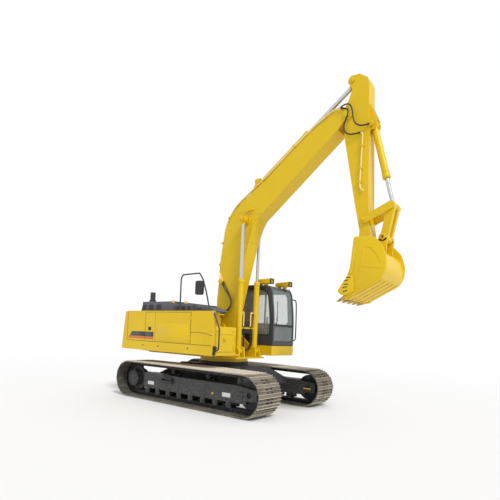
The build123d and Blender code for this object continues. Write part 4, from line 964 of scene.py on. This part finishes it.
def makeCabFittings(spec):
    # trim on the shell, with the wiper's spindle, arm and blade
    foot, tip = Vector(spec["wiperFoot"]), Vector(spec["wiperTip"])
    knee = (foot + tip) / 2 + Vector((34, 0, 0))
    putSolids("cab_trim", blackPlastic, "upperstructure", blocks=spec["trim"], rounds=(
        (foot - Vector((14, 0, 0)), foot + Vector((20, 0, 0)), 17, 16, 3),
        (foot + Vector((12, 0, 0)), knee, 7, 8),
        (knee - Vector((0, 0, 260)), knee + Vector((-20, 10, 270)), 8, 8),
    ))
    # gasket round the side window
    form = bmesh.new()
    x, z = spec["gasketMiddle"]
    wide, tight = (
        [(u + grow * math.copysign(1, u - x), v + grow * math.copysign(1, v - z), cut)
         for u, v, cut in cabShape["sideWindow"]]
        for grow in (spec["gasketOut"], spec["gasketIn"])
    )
    addRing(form, wide, tight, 494, 506)
    putPiece("side_gasket", form, blackPlastic, "upperstructure")
    # divider between the two sliding halves of the door's window, cover of the drain hole under the cab
    putSolids("door_glass_divider", charcoalEnamel, "cab_door", blocks=[spec["glassDivider"]])
    lever, _ = routeTube("travel_lever", spec["lever"], 26.0, blackPlastic)
    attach(lever, "upperstructure")
    rail, _ = routeTube("cab_grab_rail", spec["rail"], 34.0, charcoalEnamel)
    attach(rail, "upperstructure")
    putSolids("sill_cover", charcoalEnamel, "upperstructure", blocks=[spec["sillCover"]])


makeCabFittings(cabFittings)
print("stage: cab fittings")


# Bucket: curved shell between cut side plates, with lip, side cutters, edge bars, ears and wear strips

bucketShape = {
    # outlines in x, z and corner radius
    "half": 555, "plate": 28, "shell": 25, "earInner": 165, "earOuter": 203, "middle": (3900, 3100),
    "capRing": (11, 58), "capBolt": (20, 34), "notch": (48, 9), "notchOut": (22, 26), "bead": 6,
    "side": (
        (3800, 3790, 40), (4200, 3780, 190), (4400, 3560, 160), (4484, 3300, 200), (4478, 3110, 200),
        (4380, 2915, 160), (3760, 2590, 0), (3690, 2650, 0), (3700, 3020, 60), (3745, 3150, 60),
    ),
    "back": (
        (3812, 3636, 0), (4130, 3632, 240), (4400, 3420, 300), (4478, 3130, 260), (4380, 2915, 160),
        (3740, 2580, 0),
    ),
    "lip": ((3670, 2560), (3950, 2700), (3932, 2742), (3640, 2596)),
    "cutter": (
        (3712, 3030, 20), (3500, 2712, 45), (3590, 2640, 30), (3700, 2625, 0), (3860, 2700, 0),
        (3860, 2830, 60), (3815, 3030, 20),
    ),
    "notches": ((3735, 2985, -8), (3690, 2925, 12), (3690, 2850, -4), (3665, 2790, 12), (3680, 2715, 18)),
    "bar": ((3800, 3600), (3870, 3590), (3812, 3140), (3790, 3040), (3705, 3040), (3745, 3150)),
    "ear": ((3790, 3750, 0), (3800, 3615, 0), (4130, 3590, 200), (4330, 3430, 0), (4350, 3800, 0)),
    "pins": ((3850, 3800, 100), (4255, 3815, 92)),
    "welds": (
        ((4045, 3600), (4180, 3536), (4290, 3420), (4370, 3260)), ((3975, 3200), (4200, 3168), (4420, 3132)),
        ((4002, 3564), (3975, 3200), (3950, 2790)),
    ),
    "strip": ((3837, 2616), (4377, 2898), (4371, 2912), (3831, 2630)), "stripYs": (-440, -220, 0, 220, 440),
    "stripHalf": 45,
}


def cutCorners(points):
    # corner radii turned into the distance along the edges at which each rounding starts
    cut = []
    for k, (u, v, radius) in enumerate(points):
        before, after = points[k - 1], points[(k + 1) % len(points)]
        a, b = Vector((u - before[0], v - before[1])), Vector((after[0] - u, after[1] - v))
        cut.append((u, v, radius * math.tan(a.angle(b) / 2)))
    return cut


def bentPlate(form, line, middle, depth, low, high):
    # a plate bent along a line of x, z and radius, as thick as depth towards the middle
    inside = spread(*middle, low, "Y")
    flat = outlineForm(cutCorners([*line, (*middle, 0)]), "Y", low)
    corners = [v.co.copy() for face in flat.faces for v in face.verts]
    flat.free()
    gap = min(range(len(corners)), key=lambda k: (corners[k] - inside).length)
    outer = corners[gap + 1:] + corners[:gap]
    band = bmesh.new()
    pairs = []
    for k, point in enumerate(outer):
        run = outer[min(k + 1, len(outer) - 1)] - outer[max(k - 1, 0)]
        side = Vector((-run.z, 0, run.x)).normalized()
        side *= math.copysign(depth / 1000, side.dot(inside - point))
        pairs.append((band.verts.new(point), band.verts.new(point + side)))
    for (a, b), (c, d) in zip(pairs, pairs[1:]):
        band.faces.new((a, c, d, b))
    growPlate(form, band, spread(0, 0, high - low, "Y"))


def putWelds(name, lines, half, radius, body):
    # weld beads along lines of x and z, on both sides
    form = bmesh.new()
    for line in lines:
        for (u0, v0), (u1, v1) in zip(line, line[1:]):
            for y in (-half, half):
                addRound(form, (u0, y, v0), (u1, y, v1), radius, sides=8)
    putPiece(name, form, yellowEnamel, body)


def makeBucket(spec):
    form, caps, notches = bmesh.new(), bmesh.new(), bmesh.new()
    half, (across, up) = spec["half"], spec["notch"]
    (ring, ringRadius), (bolt, boltRadius) = spec["capRing"], spec["capBolt"]
    sides = (
        (cutCorners(spec["side"]), -spec["plate"], 3), (cutCorners(spec["cutter"]), 24, 4),
        (spec["bar"], 14, 3),
    )
    for sign in (-1, 1):
        for outline, out, edge in sides:
            addPlate(form, outline, *sorted((sign * half, sign * (half + out))), edge=edge)
        wall = sign * spec["earOuter"]
        near, far = sorted((sign * spec["earInner"], wall))
        addPlate(form, cutCorners(spec["ear"]), near, far, edge=3)
        # bosses of the ears, and the caps of their pins
        for x, z, radius in spec["pins"]:
            addAcross(form, (x, z), near, far, radius, sides=48, edge=3)
            addAcross(caps, (x, z), wall, wall + sign * ring, ringRadius, sides=32, edge=2)
            addAcross(caps, (x, z), wall + sign * ring, wall + sign * bolt, boltRadius, sides=6, edge=1)
        # the five notches on each side cutter, as dark plates of painted shade
        for x, z, turn in spec["notches"]:
            spin = Matrix.Rotation(math.radians(turn), 2)
            line = boxLine(-across, -up, across, up)
            corners = [Vector((x, z)) + spin @ Vector((u, v)) for u, v, _ in line]
            near, far = sorted(sign * (half + out) for out in spec["notchOut"])
            addPlate(notches, [(*corner, 6) for corner in corners], near, far)
    bentPlate(form, spec["back"], spec["middle"], spec["shell"], -half + 4, half - 4)
    addPlate(form, spec["lip"], -half + 6, half - 6, edge=4)
    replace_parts(putPiece("bucket_shell", form, yellowEnamel, "bucket"), "bucket")
    putPiece("bucket_pin_caps", caps, yellowEnamel, "bucket")
    # the dark plates paint the shade in the cutters' notches
    putPiece("cutter_notch_shade", notches, cutterShadeFill, "bucket")
    putWelds("bucket_welds", spec["welds"], half, spec["bead"], "bucket")
    # wear strips lengthwise on the floor
    form = bmesh.new()
    for y in spec["stripYs"]:
        addPlate(form, spec["strip"], y - spec["stripHalf"], y + spec["stripHalf"], edge=3)
    putPiece("wear_strips", form, yellowEnamel, "bucket")


# Teeth: five cast adapters on the lip, each with a tapered tip rubbed pale

toothShape = {
    "places": (-481, -240.5, 0, 240.5, 481),
    "adapter": (
        (3640, 2548, 12), (3636, 2650, 18), (3700, 2704, 20), (3840, 2763, 8), (3850, 2640, 8),
        (3760, 2562, 10),
    ),
    "adapterHalf": 38, "pin": (3688, 2640), "pinHalf": 47, "root": (3700, 2622), "point": (3466, 2512),
    # how far along the tip, width and depth there
    "sections": ((0.0, 88, 98), (0.12, 90, 100), (0.55, 84, 62), (0.9, 66, 26), (1.0, 58, 12)),
}


def makeTeeth(spec):
    form, tips = bmesh.new(), bmesh.new()
    root, point = Vector(spec["root"]), Vector(spec["point"])
    up = -(point - root).normalized().orthogonal()
    for y in spec["places"]:
        addPlate(form, spec["adapter"], y - spec["adapterHalf"], y + spec["adapterHalf"], edge=7)
        addAcross(form, spec["pin"], y - spec["pinHalf"], y + spec["pinHalf"], 15, sides=16, edge=2)
        solid = bmesh.new()
        rings = []
        for share, wide, deep in spec["sections"]:
            places = [(root.lerp(point, share) + up * rise, across)
                      for across, rise, _ in boxLine(y - wide / 2, -deep / 2, y + wide / 2, deep / 2)]
            rings.append([solid.verts.new(spread(*place, across, "Y")) for place, across in places])
        for a, b in zip(rings, rings[1:]):
            for k in range(4):
                solid.faces.new((a[k - 1], a[k], b[k], b[k - 1]))
        solid.faces.new(rings[0])
        solid.faces.new(rings[-1])
        bmesh.ops.recalc_face_normals(solid, faces=solid.faces[:])
        softenEdges(solid, 5, angle=40.0)
        joinForm(tips, solid)
    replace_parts(putPiece("tooth_adapters", form, yellowEnamel, "bucket"), "bucket_teeth")
    putPiece("tooth_tips", tips, toothSteel, "bucket")


# the painted shade in the cutters' notches has the same dull, even grain as the plastic
cutterShadeFill = mouldedPlastic("cutterPaintedShade", "3A3126", 0.9)
toothSteel = earthedSteel("toothSteel", {
    "steel": "C9A845", "earth": "9C8040", "smearMm": 120.0, "grainMm": 16.0, "cover": 0.2,
    "roughness": 0.45, "metallic": 0.2,
})
makeBucket(bucketShape)
makeTeeth(toothShape)
print("stage: bucket")


# Cylinders: gland rings and bolts at the open ends of the barrels

glandTable = {
    # pins at the foot and at the rod's eye, length and radius of the barrel
    "boom_barrels": [((740, y, 1330), (740, y, 4600), 1790, 70) for y in (-325, 325)],
    "arm_barrel": [((1000, 0, 5530), (3420, 0, 7220), 1600, 82)],
    "bucket_barrel": [((3890, 0, 6190), (4375, 0, 4440), 1180, 72)],
}
glandShape = {
    # from and to beyond the barrel's end, how far out of the barrel, edge
    "rings": ((-92, 4, 9, 3), (-150, -128, 5, 2)), "bolts": 6,
    "boltInset": 12, "boltRadius": 9, "boltHeight": 12,
}


def makeGlands(table, spec):
    for body, runs in table.items():
        form = bmesh.new()
        for foot, eye, length, radius in runs:
            a, across = Vector(foot), Vector((0, 1, 0))
            along = (Vector(eye) - a).normalized()
            for start, end, proud, edge in spec["rings"]:
                ends = a + along * (length + start), a + along * (length + end)
                addRound(form, *ends, radius + proud, sides=40, edge=edge)
            for u, v in ringPlaces(0, 0, radius - spec["boltInset"], spec["bolts"]):
                seat = a + across * u + along.cross(across) * v + along * length
                addRound(form, seat, seat + along * spec["boltHeight"], spec["boltRadius"], sides=6)
        putPiece(body + "_glands", form, yellowEnamel, body)


makeGlands(glandTable, glandShape)


# Hydraulic lines: painted steel pipes clamped to the boom and arm, rubber hoses across the joints

hoseRubber = mouldedPlastic("hoseRubber", "202124", 0.5)
# the pipes' cream colour, paler than the yellow enamel, is a painted highlight
pipeHighlightLook = dict(yellowLook, colour="F2D680", chalkColour="F8E6AC", roughness=0.26, coat=0.5)
pipeHighlightEnamel = sprayedEnamel("pipeHighlightEnamel", pipeHighlightLook)
hoseDiameter, pipeDiameter = 30.0, 36.0
# fittings at the hose ends: from and to along the hose, radius, sides
fittingSteps = ((-20, 34, 19, 6), (30, 62, 16, 20))
pipeRuns = {
    # body, route
    "boom_pipe_outer": ("boom", (
        (18, -226, 3060), (-20, -232, 3150), (-105, -215, 3290), (-130, -160, 3450), (-112, -160, 3700),
        (-30, -170, 4180), (16, -175, 4530), (236, -185, 4898), (495, -200, 5112), (1278, -216, 5555),
        (2386, -216, 6350), (2900, -216, 6610), (3060, -218, 6680), (3207, -226, 6670),
    )),
    "boom_pipe_inner": ("boom", (
        (40, -226, 3130), (-40, -222, 3230), (-112, -170, 3350), (-134, -105, 3480), (-112, -100, 3700),
        (-34, -120, 4180), (10, -130, 4530), (230, -140, 4902), (494, -160, 5122), (1270, -178, 5590),
        (2378, -178, 6388), (2930, -182, 6650), (3080, -196, 6668), (3230, -225, 6645),
    )),
    "arm_pipe": ("arm", (
        (3675, -182, 6043), (3712, -184, 6020), (3722, -186, 5940), (3712, -184, 5400), (3704, -184, 4980),
        (3716, -184, 4900), (3760, -186, 4840), (3800, -190, 4812),
    )),
}
hoseRuns = {
    # body at the start, body at the end, number of the point where the bending ends, route
    "boom_foot_hose_outer": ("boom", "upperstructure", None, (
        (18, -226, 3060), (127, -262, 2925), (275, -275, 2785), (370, -275, 2650), (415, -275, 2520),
        (350, -275, 2400), (230, -275, 2290), (60, -278, 2262), (-90, -312, 2266),
    )),
    "boom_foot_hose_inner": ("boom", "upperstructure", None, (
        (40, -226, 3130), (140, -236, 2975), (265, -238, 2810), (345, -238, 2670), (385, -238, 2540),
        (330, -238, 2430), (220, -238, 2336), (40, -245, 2300), (-160, -312, 2266),
    )),
    "arm_hose_outer": ("boom", "arm", None, (
        (3207, -226, 6670), (3300, -250, 6700), (3420, -255, 6680), (3490, -255, 6560), (3510, -255, 6400),
        (3560, -255, 6230), (3680, -250, 6150), (3790, -215, 6155), (3850, -178, 6180),
    )),
    "arm_hose_inner": ("boom", "arm", None, (
        (3230, -225, 6645), (3340, -225, 6630), (3400, -225, 6530), (3340, -225, 6390), (3290, -225, 6270),
        (3330, -225, 6110), (3440, -225, 6040), (3560, -215, 6030), (3675, -182, 6043),
    )),
}
# the same on both cylinders: the crooked pipe at the barrel, and the hose from the deck that runs along it
crook = ((727, 140, 1960), (727, 140, 2100), (727, 140, 2250), (730, 150, 2318), (736, 215, 2312))
deckHose = (
    (440, 130, 1205), (500, 130, 1290), (600, 130, 1340), (700, 132, 1390), (745, 136, 1520),
    (738, 140, 1720),
)
for sideName, side in (("right", -1), ("left", 1)):
    pipeRun = [(x, side * y, z) for x, y, z in ((740, 262, 2262), *reversed(crook))]
    hoseRun = [(x, side * y, z) for x, y, z in (*deckHose, *crook, (740, 240, 2262))]
    pipeRuns["barrel_pipe_" + sideName] = ("boom_barrels", pipeRun)
    hoseRuns["cylinder_hose_" + sideName] = ("upperstructure", "boom_barrels", 6, hoseRun)
# the loop that joins the two cylinders' lines hangs between the barrels and moves with them
loopHalf = (
    (746, -140, 1950), (754, -140, 1720), (760, -140, 1520), (764, -132, 1440), (766, -92, 1388),
    (766, -32, 1366),
)
loopRun = [*loopHalf, *((x, -y, z) for x, y, z in reversed(loopHalf))]
clampShape = {
    # x, z, tilt, y from and to of the saddles on the boom; x and z of those on the arm
    "boom": (
        (-63, 4120, 9, -208, -80), (-118, 3560, 5, -208, -80), (140, 4755, 55, -208, -80),
        (1000, 5425, 58, -236, -162), (2050, 6130, 54, -236, -162), (2880, 6590, 64, -236, -162),
    ),
    "arm": ((3711, 5760), (3708, 5300), (3703, 5020)),
    "ports": (
        ((700, -276, 2230), (780, -240, 2292), 6), ((700, 240, 2230), (780, 276, 2292), 6),
        ((712, -256, 1900), (746, 256, 1936), 5),
    ),
    "houseBracket": ((-215, -345, 2235), (-70, -296, 2300), 6),
    "footClamp": ((-60, -292, 3060), (60, -198, 3160), 8, 30),
}


def makeLines(pipes, hoses, loop):
    for name, (body, points) in pipes.items():
        pipe, _ = routeTube(name, points, pipeDiameter, pipeHighlightEnamel)
        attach(pipe, body)
    # hoses, with swivel fittings at both ends of each
    fittings = {}
    for name, (near, far, bendEnd, points) in hoses.items():
        hose, path = routeTube(name, points, hoseDiameter, hoseRubber)
        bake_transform(hose)
        for body, first, second in ((near, points[0], points[1]), (far, points[-1], points[-2])):
            form = fittings.setdefault(body, bmesh.new())
            a, along = Vector(first), (Vector(second) - Vector(first)).normalized()
            for start, stop, radius, sides in fittingSteps:
                addRound(form, a + along * start, a + along * stop, radius, sides=sides, edge=2)
    hose, path = routeTube("cylinder_loop", loop, hoseDiameter, hoseRubber)
    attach(hose, "boom_barrels")
    for body, form in fittings.items():
        putPiece(body + "_fittings", form, castSteel, body)


def makeClamps(spec):
    # saddles that hold the pipes, the bar and blocks on the barrels, and the brackets of the foot hoses
    putSolids("pipe_clamps_boom", yellowEnamel, "boom", blocks=[
        ((x - 26, low, z - 30), (x + 34, high, z + 30), 6, tilt) for x, z, tilt, low, high in spec["boom"]
    ])
    putSolids("pipe_clamps_arm", yellowEnamel, "arm", blocks=[
        ((x - 40, -206, z - 24), (x + 40, -150, z + 24), 6) for x, z in spec["arm"]
    ])
    putSolids("barrel_ports", yellowEnamel, "boom_barrels", blocks=spec["ports"])
    putSolids("hose_bracket", yellowEnamel, "upperstructure", blocks=[spec["houseBracket"]])
    putSolids("hose_clamp_boom", yellowEnamel, "boom", blocks=[spec["footClamp"]])


makeLines(pipeRuns, hoseRuns, loopRun)
makeClamps(clampShape)
print("stage: hydraulic lines")


# Boom and arm details: work lamp on the boom's side, weld seams, pin caps at the joints

boomDetail = {
    "lamp": (
        ((727, -206, 4828), (905, -238, 4846), 17, 16, 3), ((727, -198, 4828), (727, -222, 4828), 42, 24, 4),
        ((905, -262, 4846), (925, -196, 4852), 38, 24, 8),
    ),
    "half": 200, "bead": 5, "capDepth": 26, "boltProud": 9, "boltRadius": 16,
    "knee": (
        (1084, 4618), (1022, 4522), (962, 4408), (908, 4276), (862, 4150), (824, 4046), (850, 4300),
        (888, 4466),
    ),
    "seams": (((60, 4500), (820, 4040)), ((270, 4840), (1200, 4712)), ((3130, 6700), (3160, 6240))),
    # x, z, reach from the middle and radius of each pin's cap
    "pins": {
        "boom": ((3340, 6510, 232, 70), (1000, 5530, 205, 66), (740, 4600, 440, 52)),
        "arm": ((3420, 7220, 190, 56), (3890, 6190, 190, 52), (3850, 3800, 225, 48), (3830, 4215, 222, 44)),
    },
}


def makeBoomDetail(spec):
    putSolids("boom_lamp", yellowEnamel, "boom", rounds=spec["lamp"])
    # rounded web in the boom's inner knee
    form = bmesh.new()
    addPlate(form, spec["knee"], -spec["half"], spec["half"], edge=3)
    putPiece("knee_web", form, yellowEnamel, "boom")
    putWelds("boom_welds", spec["seams"], spec["half"], spec["bead"], "boom")
    for body, pins in spec["pins"].items():
        form = bmesh.new()
        for x, z, reach, radius in pins:
            for side in (-1, 1):
                low, face, top = (side * (reach + out) for out in (-spec["capDepth"], 0, spec["boltProud"]))
                addAcross(form, (x, z), low, face, radius, sides=36, edge=3)
                addAcross(form, (x, z), face, top, spec["boltRadius"], sides=6, edge=1)
        putPiece(body + "_pin_caps", form, yellowEnamel, body)


makeBoomDetail(boomDetail)
print("stage: boom details")


# Seat: woven cushions with rolled edges over a plastic pan on its suspension box

seatShape = {
    # low corner, high corner, edge: pan, suspension box, shell of the back
    "frame": (
        ((-120, 745, 1880), (400, 1225, 1930), 12), ((-60, 800, 1540), (300, 1170, 1885), 10),
        ((-200, 760, 1930), (-184, 1210, 2480), 6),
    ),
    "posts": [((-150, y, 2480), (-150, y, 2530), 9, 12) for y in (900, 1070)],
    "pads": {
        "cushion": ((-110, 738, 1925), (398, 1232, 2040)), "back": ((-196, 745, 2030), (-60, 1225, 2500)),
        "head": ((-190, 845, 2510), (-90, 1125, 2688)),
    },
    "roll": 44.0,
}


def wovenCloth(name, colour, weaveMm):
    # Hard wearing woven cover, dull, with a fine cross weave
    material, tree, place = startMaterial(name, Roughness=0.85, Sheen_Weight=0.2)
    weave = addNode(tree, "TexVoronoi", pattern(place, weaveMm))
    tone = addNode(tree, "MapRange", {0: weave.outputs["Distance"], 1: 0.0, 2: 0.7, 3: 0.0, 4: 0.5})
    mixed = addNode(tree, "MixRGB", {0: tone, 1: colour, 2: "5A3416"})
    bump = addNode(tree, "Bump", {"Strength": 0.3, "Distance": 0.001, "Height": weave.outputs["Distance"]})
    return linkSurface(material, Base_Color=mixed, Normal=bump)


def makeSeat(spec):
    pan = putSolids("seat_pan", blackPlastic, "upperstructure", blocks=spec["frame"], rounds=spec["posts"])
    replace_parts(pan, "operator_seat")
    cloth = wovenCloth("seatCloth", "9A5C28", 6.0)
    for key, corners in spec["pads"].items():
        form = bmesh.new()
        addBlock(form, *corners, edge=spec["roll"])
        pad = putPiece("seat_" + key, form, cloth, "upperstructure", crease=80.0)
        levels = pad.modifiers.new("round", "SUBSURF")
        levels.levels = levels.render_levels = 2


makeSeat(seatShape)
print("stage: seat")


# Studio: pale floor that fades into an even background, soft sun from the front right, even sky

studio = {
    "floorRadius": 60.0, "fadeStart": 9.0, "fadeEnd": 22.0, "floorColour": "F4F4F4",
    "sunStrength": 1.9, "sunAngle": 14.0, "sunElevation": 48.0, "sunBearing": -24.0, "skyStrength": 0.62,
}


def seenDirectly(tree):
    # the light path, and the share of a ray that comes from the camera, straight or through glass
    seen = addNode(tree, "LightPath")
    rays = {0: seen.outputs["Is Camera Ray"], 1: seen.outputs["Is Transmission Ray"]}
    return seen, addNode(tree, "Math", rays, operation="MAXIMUM")


def makeFloor(spec):
    form = bmesh.new()
    bmesh.ops.create_circle(form, cap_ends=True, segments=96, radius=spec["floorRadius"])
    mesh = bpy.data.meshes.new("studioFloor")
    form.to_mesh(mesh)
    form.free()
    floor = bpy.data.objects.new("studioFloor", mesh)
    bpy.context.scene.collection.objects.link(floor)
    colour = linearColour(spec["floorColour"])
    material, tree, place = startMaterial("studioFloor", Roughness=0.9, Base_Color=colour)
    reach = addNode(tree, "VectorMath", {0: place}, operation="LENGTH")
    fade = addNode(tree, "MapRange", {0: reach.outputs["Value"], 1: spec["fadeStart"], 2: spec["fadeEnd"]})
    glow = addNode(tree, "Emission", {"Color": (1, 1, 1, 1), "Strength": 1.0})
    _, direct = seenDirectly(tree)
    share = addNode(tree, "Math", {0: direct, 1: fade}, operation="MULTIPLY")
    surface = tree.nodes["Principled BSDF"]
    mixed = addNode(tree, "MixShader", {0: share, 1: surface, 2: glow})
    tree.links.new(mixed.outputs[0], tree.nodes["Material Output"].inputs["Surface"])
    mesh.materials.append(material)


def makeSky(spec):
    # white to the camera and in reflections, softer as a light
    world = bpy.data.worlds.new("studioSky")
    bpy.context.scene.world = world
    world.use_nodes = True
    sky = world.node_tree
    seen, direct = seenDirectly(sky)
    rays = {0: direct, 1: seen.outputs["Is Glossy Ray"]}
    bright = addNode(sky, "Math", rays, operation="MAXIMUM")
    strength = addNode(sky, "MapRange", {0: bright, 3: spec["skyStrength"], 4: 1.0})
    sky.links.new(strength.outputs[0], sky.nodes["Background"].inputs["Strength"])
    sky.nodes["Background"].inputs["Color"].default_value = (1, 1, 1, 1)


def makeSun(spec):
    light = bpy.data.lights.new("softSun", "SUN")
    light.energy = spec["sunStrength"]
    light.angle = math.radians(spec["sunAngle"])
    sun = bpy.data.objects.new("softSun", light)
    elevation, bearing = math.radians(spec["sunElevation"]), math.radians(spec["sunBearing"])
    level = Vector((math.cos(bearing), math.sin(bearing), 0)) * math.cos(elevation)
    towards = level + Vector((0, 0, math.sin(elevation)))
    sun.rotation_euler = towards.to_track_quat("Z", "Y").to_euler()
    bpy.context.scene.collection.objects.link(sun)


makeFloor(studio)
makeSky(studio)
makeSun(studio)
print("stage: studio ready")
